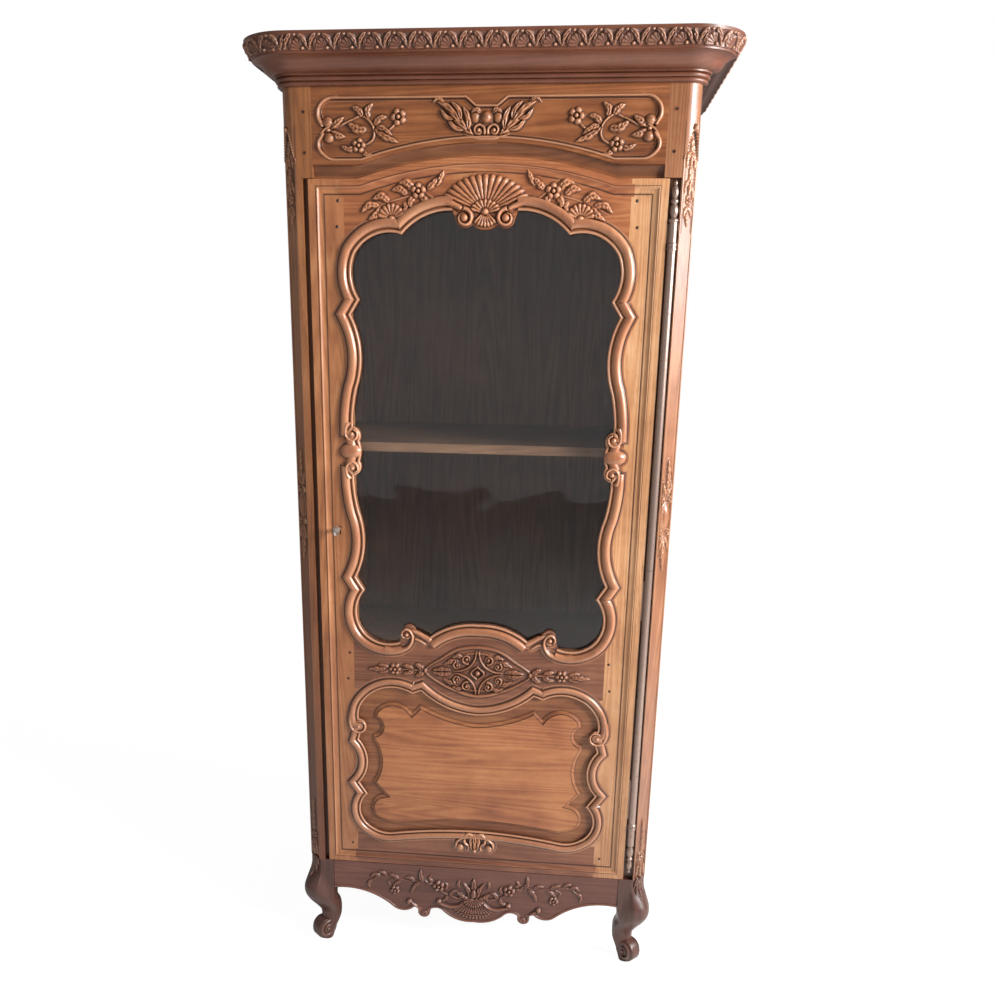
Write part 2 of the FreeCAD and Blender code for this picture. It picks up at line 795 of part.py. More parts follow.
def cornice():
    """Straight lengths on the front and sides and turned quarter rounds between them."""
    corner_x = D["body_width"] / 2 - D["corner_round"]
    front = body("cornice_front")
    add(front, "x", f"-({HALF} - dims.corner_round)", f"2 * ({HALF} - dims.corner_round)",
        cornice_profile(0, -1))
    for side, name in ((1, "right"), (-1, "left")):
        length = body(f"cornice_side_{name}")
        add(length, "y", "dims.corner_round", "dims.body_depth - dims.corner_round",
            cornice_profile(D["body_width"] / 2, side))
        corner = doc.addObject("PartDesign::Body", f"cornice_corner_{name}")
        keep(corner, f"cornice_corner_{name}")
        turned = turn(corner, cornice_profile(D["corner_round"], side), 90)
        turned.Reversed = side > 0
        corner.Placement.Base.x = side * corner_x
        corner.setExpression(".Placement.Base.y", f"{FRONT} + dims.corner_round")
        corner.setExpression(".Placement.Base.z", BASE)


cornice()


# Pegs of the case

front_pegs = []
for number, (x, z) in enumerate(sided(FRAME_PEGS, 1) + sided(FRAME_PEGS, -1)):
    front_pegs.append(rod(f"frame_peg_{number}", "y", (x, "-dims.peg_proud", z),
                          "dims.peg_radius", "dims.frame_thickness - 2 + dims.peg_proud"))
keep(join("frame_pegs", front_pegs), "frame_pegs")

side_pegs = []
for depth in SIDE_PEG_DEPTHS:
    for level in SIDE_PEGS:
        for x in (SIDE_INNER, f"-{HALF} - dims.peg_proud"):
            side_pegs.append(rod(f"side_peg_{len(side_pegs)}", "x", (x, depth, level),
                                 "dims.peg_radius", f"{HALF} - {SIDE_INNER} + dims.peg_proud"))
keep(join("side_pegs", side_pegs), "side_pegs")

strike = box("strike_plate_blank", (f"-{INNER} - dims.strike_plate", f"-{INNER}"),
             (STRIKE_FRONT, f"{STRIKE_FRONT} + dims.strike_depth"), STRIKE_HEIGHTS)
strike_hole = box("strike_plate_hole", (f"-{INNER} - dims.strike_plate", f"-{INNER}"),
                  BOLT_HOLE_DEPTHS, BOLT_HOLE_HEIGHTS)
keep(cut("strike_plate", strike, [strike_hole]), "strike_plate")

# Door: stiles, rails, panel and glass

TENONS = {"top": (1452, 1530), "middle": (474, 555), "bottom": (20, 64)}
DOOR_PEGS = [(300, 1510), (303, 1461), (297, 543), (302, 479), (301, 48.5)]
KNEE = 255
GLASS_JOINT = 1437
MIDDLE_RAIL = (455, 575)
BOTTOM_RAIL = 80
MIDDLE_BLANK = (395, 630)
BOTTOM_BLANK = 105


def glass_opening(owner):
    """Cuts the shaped sight of the glass and the square rebate behind it."""
    remove(owner, "y", -1, "dims.door_thickness + 2", mirrored(GLASS_SIGHT_START, GLASS_SIGHT))
    side = "(dims.glass_half_width + dims.glass_clear)"
    remove(owner, "y", "dims.sight_depth", "dims.door_thickness",
           rectangle((f"-{side}", "dims.glass_bottom - dims.glass_clear"),
                     (side, "dims.glass_top + dims.glass_clear")))


def panel_opening(owner):
    """Cuts the shaped sight of the panel and the groove that holds it."""
    remove(owner, "y", -1, "dims.door_thickness + 2", mirrored(PANEL_SIGHT_START, PANEL_SIGHT))
    side = "(dims.panel_half + dims.panel_clear)"
    remove(owner, "y", "dims.panel_front", "dims.panel_groove",
           rectangle((f"-{side}", "dims.panel_bottom - dims.panel_clear"),
                     (side, "dims.panel_top + dims.panel_clear")))


def door_tenons(owner, name):
    """Adds the tenons of a door rail, as one bar through it."""
    low, high = TENONS[name]
    add(owner, "y", 15, "dims.tenon_thickness - 2",
        rectangle((f"-{SHOULDER} - dims.rail_tenon", low), (f"{SHOULDER} + dims.rail_tenon", high)))


def peg_door(owner, pegs):
    """Bores the peg holes of a door member."""
    remove(owner, "y", -1, "dims.door_thickness + 2", circles(pegs, "dims.peg_radius"))


def door_stile(side):
    """Upright door member, wider between the rails for the shaped openings."""
    stile = body(f"door_stile_{'right' if side > 0 else 'left'}")
    edge = D["door_width"] / 2
    shoulder = edge - D["stile_width"]
    height = D["door_height"]
    middle_low, middle_high = MIDDLE_RAIL
    blank = [
        (edge, 0), (edge, height), (shoulder, height), (shoulder, GLASS_JOINT),
        (KNEE, GLASS_JOINT), (KNEE, middle_high), (shoulder, middle_high),
        (shoulder, middle_low), (KNEE, middle_low), (KNEE, BOTTOM_RAIL),
        (shoulder, BOTTOM_RAIL), (shoulder, 0),
    ]
    add(stile, "y", 0, "dims.door_thickness", polygon(sided(blank, side)))
    lap = D["lip_overlap"] + D["door_gap"]
    lip = [
        (edge + 1, -1), (edge + 1, height + 1), (shoulder - 1, height + 1),
        (shoulder - 1, height - lap), (edge - lap, height - lap), (edge - lap, lap),
        (shoulder - 1, lap), (shoulder - 1, -1),
    ]
    remove(stile, "y", "dims.lip_depth", "dims.door_thickness", polygon(sided(lip, side)))
    for low, high in TENONS.values():
        remove(stile, "y", 15, "dims.tenon_thickness - 2",
               rectangle((f"{side} * {SHOULDER}", low),
                         (f"{side} * ({SHOULDER} + dims.rail_tenon)", high)))
    glass_opening(stile)
    panel_opening(stile)
    peg_door(stile, sided(DOOR_PEGS, side))
    return stile


right_stile = door_stile(1)
for low, high in DOOR_LEAVES["upper"] + DOOR_LEAVES["lower"]:
    remove(right_stile, "y", "dims.leaf_front", "dims.leaf_thickness",
           rectangle(("dims.leaf_end", low), (f"{DOOR_EDGE} + 1", high)))

LOCK_SCREWS = [(-338, 797), (-291, 797), (-338, 875), (-291, 875)]

left_stile = door_stile(-1)
key_x, key_height, keyhole = D["key_x"], D["key_height"], D["keyhole"]
slot_side = math.sqrt(keyhole ** 2 - 1.5 ** 2)
remove(left_stile, "y", -1, "dims.door_thickness + 2",
       outline((key_x + 1.5, key_height - slot_side), [
           ((key_x, key_height + keyhole), (key_x - 1.5, key_height - slot_side)),
           ((key_x - 1.5, key_height - 15),),
           ((key_x + 1.5, key_height - 15),),
           ((key_x + 1.5, key_height - slot_side),),
       ]))
remove(left_stile, "y", "dims.door_thickness - 10", 10, circles(LOCK_SCREWS, "dims.lock_screw"))


def door_rails():
    """Arched top rail, middle rail between glass and panel, and bottom rail."""
    half = D["door_width"] / 2 - D["stile_width"]
    height, reach = D["door_height"], D["arch_half"]
    lap = D["lip_overlap"] + D["door_gap"]
    crown = height + D["arch_rise"]
    top = body("door_top_rail")
    add(top, "y", 0, "dims.door_thickness", arched(half, GLASS_JOINT, height, crown, reach))
    door_tenons(top, "top")
    remove(top, "y", "dims.lip_depth", "dims.door_thickness", outline(
        (-half - 40, height - lap), [
            ((-reach + lap, height - lap),),
            ((0, crown - lap), (reach - lap, height - lap)),
            ((half + 40, height - lap),),
            ((half + 40, crown + 1),),
            ((-half - 40, crown + 1),),
            ((-half - 40, height - lap),),
        ]))
    glass_opening(top)
    middle = body("door_middle_rail")
    low, high = MIDDLE_RAIL
    blank = [
        (KNEE, MIDDLE_BLANK[0]), (KNEE, low), (half, low), (half, high),
        (KNEE, high), (KNEE, MIDDLE_BLANK[1]),
    ]
    mirror = [(-x, z) for x, z in reversed(blank)]
    add(middle, "y", 0, "dims.door_thickness", polygon(blank + mirror))
    door_tenons(middle, "middle")
    glass_opening(middle)
    panel_opening(middle)
    bottom = body("door_bottom_rail")
    blank = [(half, 0), (half, BOTTOM_RAIL), (KNEE, BOTTOM_RAIL), (KNEE, BOTTOM_BLANK)]
    mirror = [(-x, z) for x, z in reversed(blank)]
    add(bottom, "y", 0, "dims.door_thickness", polygon(blank + mirror))
    door_tenons(bottom, "bottom")
    remove(bottom, "y", "dims.lip_depth", "dims.door_thickness",
           rectangle((f"-{DOOR_EDGE}", -1), (DOOR_EDGE, "dims.lip_overlap + dims.door_gap")))
    panel_opening(bottom)
    for rail, name in ((top, "top"), (middle, "middle"), (bottom, "bottom")):
        low, high = TENONS[name]
        held = [peg for peg in DOOR_PEGS if low < peg[1] < high]
        peg_door(rail, held + sided(held, -1))


def door_panel():
    """Panel with a raised, shaped field, held loose in its groove."""
    panel = body("door_panel")
    groove_play = 0.2
    add(panel, "y", f"dims.panel_front + {groove_play}", f"dims.panel_groove - {2 * groove_play}",
        rectangle(("-dims.panel_half", "dims.panel_bottom"),
                  ("dims.panel_half", "dims.panel_top")))
    add(panel, "y", 5, f"dims.panel_front + {groove_play} - 5",
        mirrored(PANEL_FIELD_START, PANEL_FIELD))


def glazing():
    """Pane and the four beads that hold it in its rebate."""
    pane = box("glass_pane", ("-dims.glass_half_width", "dims.glass_half_width"),
               ("dims.sight_depth", "dims.sight_depth + dims.glass_thickness"),
               ("dims.glass_bottom", "dims.glass_top"))
    keep(pane, "glass_pane")
    y_bead = ("dims.sight_depth + dims.glass_thickness", "dims.door_thickness")
    outer = "(dims.glass_half_width + dims.glass_clear)"
    inner = "(dims.glass_half_width + dims.glass_clear - dims.bead_width)"
    low = "(dims.glass_bottom - dims.glass_clear)"
    high = "(dims.glass_top + dims.glass_clear)"
    beads = {
        "left": ((f"-{outer}", f"-{inner}"), (low, high)),
        "right": ((inner, outer), (low, high)),
        "top": ((f"-{inner}", inner), (f"{high} - dims.bead_width", high)),
        "bottom": ((f"-{inner}", inner), (low, f"{low} + dims.bead_width")),
    }
    for name, (x, z) in beads.items():
        label = f"glazing_bead_{name}"
        keep(box(label, x, y_bead, z), label)


door_rails()
door_panel()
glazing()

door_pegs = []
for number, (x, z) in enumerate(sided(DOOR_PEGS, 1) + sided(DOOR_PEGS, -1)):
    door_pegs.append(rod(f"door_peg_{number}", "y", (x, "-dims.peg_proud", z),
                         "dims.peg_radius", "dims.door_thickness - 1 + dims.peg_proud"))
keep(join("door_pegs", door_pegs), "door_pegs")

# Hinges: two long barrels that meet at mid height, on pins at the head and at the foot

HEAD_JOINT = 1426
FOOT_JOINT = 142.5
MEETING = 766


def barrel(label, profile):
    """Turned barrel about the hinge line, drawn as radius and height."""
    made = body(label)
    made.setExpression(".Placement.Base.x", "dims.hinge_x")
    made.setExpression(".Placement.Base.y", f"{FRONT} + dims.hinge_y")
    turn(made, profile)
    return made


def door_leaves(owner, leaves):
    """Adds the leaves let into the door's stile."""
    for low, high in leaves:
        add(owner, "y", "dims.leaf_front - dims.hinge_y", "dims.leaf_thickness",
            rectangle(("dims.leaf_end - dims.hinge_x", low), (-5, high)))


def frame_leaves(owner, leaves):
    """Adds the leaves let into the post."""
    for low, high in leaves:
        add(owner, "y", 5, "dims.leaf_reach - dims.hinge_y - 5",
            rectangle(("-dims.leaf_thickness / 2", low), ("dims.leaf_thickness / 2", high)))


def hinges():
    """Both hinge lines' halves, their pins and their washers."""
    rod_r, ring_r, bore = D["barrel_radius"], D["collar_radius"], D["pin_radius"]
    running = bore + 0.05
    reach = D["pin_length"] / 2
    gap, washer = D["running_gap"], D["washer"]
    foot = HEAD_JOINT + gap
    upper_door = barrel("hinge_upper_door_half", outline((running, foot), [
        ((ring_r, foot),),
        ((ring_r, foot + 5),),
        ((rod_r, foot + 7),),
        ((rod_r, 1471),),
        ((ring_r, 1474), (rod_r, 1477)),
        ((5.4, 1480),),
        ((8.2, 1491), (4.8, 1504)),
        ((6.4, 1506),),
        ((7.4, 1509), (6.4, 1512)),
        ((4.2, 1515),),
        ((6.6, 1525), (2.6, 1538)),
        ((3.6, 1542), (1.5, 1547)),
        ((0, 1548),),
        ((0, foot + reach + 1),),
        ((running, foot + reach + 1),),
        ((running, foot),),
    ]))
    door_leaves(upper_door, DOOR_LEAVES["upper"])
    head = HEAD_JOINT - washer
    upper_frame = barrel("hinge_upper_frame_half", outline((0, MEETING + 0.5), [
        ((rod_r, MEETING + 0.5),),
        ((rod_r, head - 7),),
        ((ring_r, head - 5),),
        ((ring_r, head),),
        ((bore, head),),
        ((bore, HEAD_JOINT - reach),),
        ((0, HEAD_JOINT - reach),),
        ((0, MEETING + 0.5),),
    ]))
    frame_leaves(upper_frame, FRAME_LEAVES["upper"])
    foot = FOOT_JOINT + gap
    lower_door = barrel("hinge_lower_door_half", outline((running, foot), [
        ((ring_r, foot),),
        ((ring_r, foot + 5),),
        ((rod_r, foot + 7),),
        ((rod_r, MEETING - 0.5),),
        ((0, MEETING - 0.5),),
        ((0, foot + reach + 1),),
        ((running, foot + reach + 1),),
        ((running, foot),),
    ]))
    door_leaves(lower_door, DOOR_LEAVES["lower"])
    head = FOOT_JOINT - washer
    lower_frame = barrel("hinge_lower_frame_half", outline((0, 16.5), [
        ((1.5, 17.5),),
        ((3.6, 22.5), (2.6, 26.5)),
        ((6.6, 38), (4.2, 50)),
        ((6.4, 53),),
        ((7.4, 56), (6.4, 59)),
        ((4.8, 61),),
        ((8.2, 74), (5.4, 88)),
        ((rod_r, 92),),
        ((rod_r, head - 7),),
        ((ring_r, head - 5),),
        ((ring_r, head),),
        ((bore, head),),
        ((bore, FOOT_JOINT - reach),),
        ((0, FOOT_JOINT - reach),),
        ((0, 16.5),),
    ]))
    frame_leaves(lower_frame, FRAME_LEAVES["lower"])
    pins, rings = [], []
    for name, level in (("head", HEAD_JOINT), ("foot", FOOT_JOINT)):
        start = ("dims.hinge_x", "dims.hinge_y", f"{level} - dims.pin_length / 2")
        pins.append(rod(f"hinge_pin_{name}", "z", start, "dims.pin_radius", "dims.pin_length"))
        start = ("dims.hinge_x", "dims.hinge_y", f"{level} - dims.washer")
        disc = rod(f"washer_disc_{name}", "z", start, "dims.barrel_radius", "dims.washer")
        hole = rod(f"washer_hole_{name}", "z", start, "dims.pin_radius", "dims.washer")
        rings.append(cut(f"washer_{name}", disc, [hole]))
    keep(join("hinge_pins", pins), "hinge_pins")
    keep(join("hinge_washers", rings), "hinge_washers")


hinges()

# Lock: a case screwed to the back of the stile, its bolt, and the key


def lock():
    """Case, screws and sliding bolt."""
    x_case = ("dims.lock_left", "dims.lock_left + dims.lock_width")
    y_case = ("dims.door_thickness", "dims.door_thickness + dims.lock_depth")
    z_case = ("dims.lock_base", "dims.lock_base + dims.lock_height")
    blank = box("lock_blank", x_case, y_case, z_case)
    wall = "dims.lock_wall"
    hollow = box("lock_hollow", (f"{x_case[0]} + {wall}", f"{x_case[1]} - {wall}"),
                 (y_case[0], f"{y_case[1]} - {wall}"),
                 (f"{z_case[0]} + {wall}", f"{z_case[1]} - {wall}"))
    gate = box("lock_gate", (x_case[0], f"{x_case[0]} + {wall}"),
               ("dims.bolt_front - 0.2", "dims.bolt_front + dims.bolt_thickness + 0.2"),
               ("dims.bolt_base - 0.2", "dims.bolt_base + dims.bolt_height + 0.2"))
    holes, screws = [], []
    for number, (x, z) in enumerate(LOCK_SCREWS):
        holes.append(rod(f"lock_screw_hole_{number}", "y", (x, y_case[0], z),
                         "dims.lock_screw", "dims.lock_depth"))
        shank = rod(f"lock_screw_shank_{number}", "y", (x, f"{y_case[0]} - 10", z),
                    "dims.lock_screw", "dims.lock_depth + 10")
        head = rod(f"lock_screw_head_{number}", "y", (x, y_case[1], z), 4, 1.5)
        screws.append(join(f"lock_screw_{number}", [shank, head]))
    keep(cut("lock_case", blank, [hollow, gate] + holes), "lock_case")
    keep(join("lock_screws", screws), "lock_screws")
    bolt = box("lock_bolt", ("dims.lock_left - 1", "dims.lock_left - 1 + dims.bolt_length"),
               ("dims.bolt_front", "dims.bolt_front + dims.bolt_thickness"),
               ("dims.bolt_base", "dims.bolt_base + dims.bolt_height"))
    keep(bolt, "lock_bolt")


def oval(centre, along, across):
    """Returns a drawing of an ellipse, longer along the first axis of the sketch."""
    def draw(sketch):
        sketch.addGeometry(Part.Ellipse(V(*centre, 0), along, across))
    return draw


KEY_TURN = -10


def key():
    """Key with an oval bow, drawn about its own shank."""
    made = body("key")
    made.Placement = FreeCAD.Placement(V(0, 0, 0), FreeCAD.Rotation(V(0, 1, 0), KEY_TURN))
    made.setExpression(".Placement.Base.x", "dims.key_x")
    made.setExpression(".Placement.Base.z", f"{BASE} + dims.key_height")
    add(made, "y", -19, 60.5, circles([(0, 0)], "dims.key_shank"))
    add(made, "y", -19, 17, circles([(0, 0)], 4))
    add(made, "y", -19, 3.5, circles([(0, 0)], 5))
    add(made, "x", -2.3, 4.6, both(oval((-33, 0), 15, 12), oval((-33.5, 0), 9.5, 7.2)))
    add(made, "x", -1.25, 2.5, rectangle((32, -13.5), (40, 0)))


lock()
key()

doc.recompute()

for thing in doc.Objects:
    if "Invalid" in thing.State or "Error" in thing.State:
        raise RuntimeError(f"{thing.Name} did not build: {thing.State}")
for thing in sub_parts:
    if thing.Shape.isNull() or not thing.Shape.isValid() or not thing.Shape.Solids:
        raise RuntimeError(f"{thing.Label} has no sound solid")

os.makedirs("parts", exist_ok=True)
for thing in sub_parts:
    thing.Shape.exportStep(f"parts/{thing.Label}.step")
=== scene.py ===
"""Looks of a carved walnut display cabinet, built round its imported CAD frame.

Shapes are drawn in millimetres in the door's own frame: x across from the middle of the door,
y back from the door's face and z up from its bottom edge. A mesh is turned to metres in the
frame of the CAD when it is made.
"""

from __future__ import annotations

import logging
import math
from collections.abc import Callable, Iterator, Sequence
from contextlib import contextmanager
from dataclasses import dataclass
from enum import Enum
from functools import cached_property, partial

import bpy
import numpy as np
from mathutils import Matrix, Vector

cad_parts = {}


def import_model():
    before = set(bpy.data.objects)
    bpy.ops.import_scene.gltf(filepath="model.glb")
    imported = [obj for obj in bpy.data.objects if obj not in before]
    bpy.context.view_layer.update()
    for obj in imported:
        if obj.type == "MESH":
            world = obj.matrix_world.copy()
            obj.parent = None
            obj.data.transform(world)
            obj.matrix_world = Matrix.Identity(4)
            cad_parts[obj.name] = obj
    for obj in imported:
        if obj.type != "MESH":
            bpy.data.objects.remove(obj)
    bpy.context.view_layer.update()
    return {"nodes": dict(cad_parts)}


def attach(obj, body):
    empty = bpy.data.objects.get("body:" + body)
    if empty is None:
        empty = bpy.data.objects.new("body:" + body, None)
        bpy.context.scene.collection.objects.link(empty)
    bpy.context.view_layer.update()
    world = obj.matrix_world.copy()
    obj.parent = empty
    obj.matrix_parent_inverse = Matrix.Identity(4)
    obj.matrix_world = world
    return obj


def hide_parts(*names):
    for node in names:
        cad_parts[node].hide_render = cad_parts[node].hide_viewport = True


log = logging.getLogger("cabinet")

Point = tuple[float, float]
Step = tuple[Point, ...]
Placer = Callable[[np.ndarray, np.ndarray, np.ndarray], np.ndarray]
Area = tuple[slice, slice]
Band = tuple[Area, np.ndarray, np.ndarray]

DOOR_FACE = 244.0
DOOR_FOOT = 240.0
FIELD = 5.0  # depth of the door's field behind its border
PANEL_GROUND = 12.2  # depth of the panel's sunk border
ARCH_CENTRE = 758.74  # the arch of the door's head
ARCH_RADIUS = 832.26
SHOULDER = 1550.0
BARE = -2.0  # height of a relief's ground where nothing is carved yet
NO_GROUND = -9.0  # under this height a relief has no ground either
SKIN = 0.0016  # thickness of a carving in metres
CLOUDY = 0.85  # share of the broad patches in a board's colour
ROOT = math.sqrt(0.5)
SIDES = ((1, "right"), (-1, "left"))


def to_metres(points: np.ndarray) -> np.ndarray:
    """Moves points from the door's millimetres to the CAD's metres.

    Args:
        points: places in the door's frame, one a row.

    Returns:
        The same places in metres, from the cabinet's own origin.
    """
    points = np.asarray(points, float).reshape(-1, 3)
    return (points + (0.0, -DOOR_FACE, DOOR_FOOT)) / 1000.0


# Bench work: selecting, making, cutting and finishing meshes


def take(*pieces: bpy.types.Object) -> None:
    """Selects pieces and nothing else; the last one becomes active.

    Args:
        pieces: the objects to select.
    """
    bpy.ops.object.select_all(action="DESELECT")
    for piece in pieces:
        piece.select_set(True)
    bpy.context.view_layer.objects.active = pieces[-1]


@contextmanager
def edited(piece: bpy.types.Object, selection: str | None = "SELECT") -> Iterator[None]:
    """Opens a piece's mesh for editing, and closes it afterwards.

    Args:
        piece: the object to edit.
        selection: Blender's name for what is done to all of the mesh first, None for nothing.

    Yields:
        Nothing, while the mesh is open.
    """
    take(piece)
    bpy.ops.object.mode_set(mode="EDIT")
    if selection:
        bpy.ops.mesh.select_all(action=selection)
    yield
    bpy.ops.object.mode_set(mode="OBJECT")


def link(name: str, mesh: bpy.types.Mesh) -> bpy.types.Object:
    """Puts a mesh into the scene as an object of its own.

    Args:
        name: the object's name.
        mesh: its mesh.

    Returns:
        The new object.
    """
    piece = bpy.data.objects.new(name, mesh)
    bpy.context.scene.collection.objects.link(piece)
    return piece


def new_piece(name: str, points: np.ndarray, faces: Sequence[Sequence[int]]) -> bpy.types.Object:
    """Makes an object from points in millimetres and the faces between them.

    Args:
        name: the piece's name.
        points: places in the door's frame.
        faces: corner numbers of each face.

    Returns:
        The new object, with its place in its mesh.
    """
    mesh = bpy.data.meshes.new(name)
    mesh.from_pydata(to_metres(points).tolist(), [], [list(face) for face in faces])
    return link(name, mesh)


def primitive(add: Callable[..., set[str]], name: str, **settings: object) -> bpy.types.Object:
    """Adds one of Blender's primitives.

    Args:
        add: the operator that makes it.
        name: the object's name.
        settings: the operator's settings.

    Returns:
        The new object.
    """
    bpy.ops.object.select_all(action="DESELECT")
    add(**settings)
    piece = bpy.context.object
    piece.name = piece.data.name = name
    return piece


def smooth(piece: bpy.types.Object, angle: float = 30.0) -> None:
    """Shades a piece as smooth, but for its sharp edges.

    Args:
        piece: the object.
        angle: sharpest turn in degrees that is shaded as smooth.
    """
    take(piece)
    bpy.ops.object.shade_smooth_by_angle(angle=math.radians(angle))


def close_up(piece: bpy.types.Object, gap: float = 0.02, angle: float = 35.0) -> bpy.types.Object:
    """Merges doubled corners, turns the faces outwards and smooths the shading.

    Args:
        piece: the object to finish.
        gap: distance in millimetres under which corners are one.
        angle: sharpest turn in degrees that is shaded as smooth.

    Returns:
        The same object.
    """
    with edited(piece):
        bpy.ops.mesh.remove_doubles(threshold=gap / 1000)
        bpy.ops.mesh.normals_make_consistent(inside=False)
    smooth(piece, angle)
    return piece


def fill_ends() -> None:
    """Closes the open ends of the mesh that is being edited."""
    bpy.ops.mesh.select_mode(type="EDGE")
    bpy.ops.mesh.select_all(action="DESELECT")
    bpy.ops.mesh.select_non_manifold()
    bpy.ops.mesh.fill_holes(sides=0)


def draw_out(piece: bpy.types.Object, run: tuple[float, float, float]) -> bpy.types.Object:
    """Extrudes a piece of one face and closes it up.

    Args:
        piece: the object.
        run: length of the extrusion along each axis, in millimetres.

    Returns:
        The same object.
    """
    with edited(piece):
        bpy.ops.mesh.extrude_region_move(TRANSFORM_OT_translate={"value": [v / 1000 for v in run]})
    return close_up(piece)


def apply_modifier(piece: bpy.types.Object, kind: str, **settings: object) -> None:
    """Adds a modifier with its settings and applies it.

    Args:
        piece: the object to change.
        kind: Blender's name for the modifier.
        settings: values of the modifier's properties.
    """
    take(piece)
    modifier = piece.modifiers.new(kind.lower(), kind)
    for key, value in settings.items():
        setattr(modifier, key, value)
    bpy.ops.object.modifier_apply(modifier=modifier.name)


def cut_away(piece: bpy.types.Object, tool: bpy.types.Object) -> None:
    """Cuts a tool's shape out of a piece and throws the tool away.

    Args:
        piece: the object that loses material.
        tool: the closed object to subtract.
    """
    apply_modifier(piece, "BOOLEAN", operation="DIFFERENCE", solver="EXACT", object=tool)
    bpy.data.objects.remove(tool)


def copy_node(node: bpy.types.Object, name: str) -> bpy.types.Object:
    """Copies a CAD node's mesh to a new piece and merges its loose triangles.

    Args:
        node: the CAD object, which is left as it is.
        name: the new piece's name.

    Returns:
        The copy, in place.
    """
    mesh = node.data.copy()
    mesh.name = name
    piece = link(name, mesh)
    with edited(piece, None):
        bpy.ops.mesh.customdata_custom_splitnormals_clear()
        bpy.ops.mesh.select_all(action="SELECT")
        bpy.ops.mesh.remove_doubles(threshold=0.00001)
        bpy.ops.mesh.normals_make_consistent(inside=False)
    return piece


def centres(mesh: bpy.types.Mesh) -> np.ndarray:
    """Measures where a mesh's faces lie.

    Args:
        mesh: the mesh.

    Returns:
        The middle of each face, in the door's millimetres.
    """
    middles = np.empty(len(mesh.polygons) * 3)
    mesh.polygons.foreach_get("center", middles)
    return middles.reshape(-1, 3) * 1000 + (0.0, DOOR_FACE, -DOOR_FOOT)


def stain(piece: bpy.types.Object, rule: Callable[[np.ndarray, np.ndarray], np.ndarray]) -> None:
    """Gives faces a relief value: the finish paints shade where it is negative and a highlight where it is
    positive.

    Args:
        piece: the object.
        rule: gives each face's relief from its middle and its normal.
    """
    mesh = piece.data
    count = len(mesh.polygons)
    normals, sizes = np.empty(count * 3), np.empty(count, int)
    mesh.polygons.foreach_get("normal", normals)
    mesh.polygons.foreach_get("loop_total", sizes)
    dirt_and_shade = mesh.attributes.new("relief", "FLOAT", "CORNER")
    dirt_and_shade.data.foreach_set("value", np.repeat(rule(centres(mesh), normals.reshape(-1, 3)), sizes))


def mark_points(mesh: bpy.types.Mesh, relief: np.ndarray) -> None:
    """Stores how far each point of a mesh stands over its neighbourhood, for the finish.

    Args:
        mesh: the mesh.
        relief: one value for each point.
    """
    mesh.attributes.new("relief", "FLOAT", "POINT").data.foreach_set("value", relief.ravel())


def ring_faces(rows: int, wide: int, closed: bool = False) -> list[Sequence[int]]:
    """Joins rings of points with faces, and caps the ends if they don't meet.

    Args:
        rows: number of rings.
        wide: number of points in a ring.
        closed: whether the last ring meets the first.

    Returns:
        The corner numbers of each face.
    """
    faces: list[Sequence[int]] = [
        (i * wide + j, i * wide + (j + 1) % wide, (i + 1) % rows * wide + (j + 1) % wide,
         (i + 1) % rows * wide + j)
        for i in range(rows if closed else rows - 1) for j in range(wide)]
    if not closed:
        faces += [range(wide), range(rows * wide - 1, (rows - 1) * wide - 1, -1)]
    return faces


# Drawn lines and mouldings


def arc_points(start: Point, via: Point, end: Point, pitch: float) -> list[Point]:
    """Divides the arc through three points.

    Args:
        start: where the arc starts.
        via: a point on it.
        end: where it ends.
        pitch: greatest length of a division.

    Returns:
        The points after the start, up to and with the end.
    """
    (ax, az), (bx, bz), (cx, cz) = start, via, end
    turn = 2 * (ax * (bz - cz) + bx * (cz - az) + cx * (az - bz))
    sa, sb, sc = ax * ax + az * az, bx * bx + bz * bz, cx * cx + cz * cz
    ox = (sa * (bz - cz) + sb * (cz - az) + sc * (az - bz)) / turn
    oz = (sa * (cx - bx) + sb * (ax - cx) + sc * (bx - ax)) / turn
    radius = math.hypot(ax - ox, az - oz)
    first = math.atan2(az - oz, ax - ox)
    sweep = (math.atan2(cz - oz, cx - ox) - first) % math.tau
    if (math.atan2(bz - oz, bx - ox) - first) % math.tau > sweep:
        sweep -= math.tau
    count = max(2, math.ceil(abs(sweep) * radius / pitch))
    angles = [first + sweep * k / count for k in range(1, count + 1)]
    return [(ox + radius * math.cos(a), oz + radius * math.sin(a)) for a in angles]


@dataclass(frozen=True)
class Line:
    """A drawn line of straight runs and arcs: a step of one point is straight, of two an arc."""

    start: Point
    steps: tuple[Step, ...]
    closed: bool = True

    def half(self, pitch: float = 3.0) -> np.ndarray:
        """Divides the drawn half.

        Args:
            pitch: greatest length of a division of an arc.

        Returns:
            The points, from the start.
        """
        points = [self.start]
        for step in self.steps:
            if len(step) == 2:
                points += arc_points(points[-1], step[0], step[1], pitch)
            else:
                gap = math.dist(points[-1], step[0])
                count = max(1, round(gap / (2.5 * pitch)))
                a, b = np.array(points[-1]), np.array(step[0])
                points += [tuple(a + (b - a) * k / count) for k in range(1, count + 1)]
        return np.array(points)

    def whole(self, pitch: float = 3.0) -> np.ndarray:
        """Adds the mirrored half.

        Args:
            pitch: greatest length of a division of an arc.

        Returns:
            A line from left to right, or a loop that starts at the middle of its top.
        """
        half = self.half(pitch)
        mirrored = half[::-1] * (-1, 1)
        if not self.closed:
            return np.vstack([mirrored[:-1], half])
        return np.vstack([half, mirrored[1:-1] if abs(half[-1][0]) < 0.01 else mirrored[:-1]])[::-1]


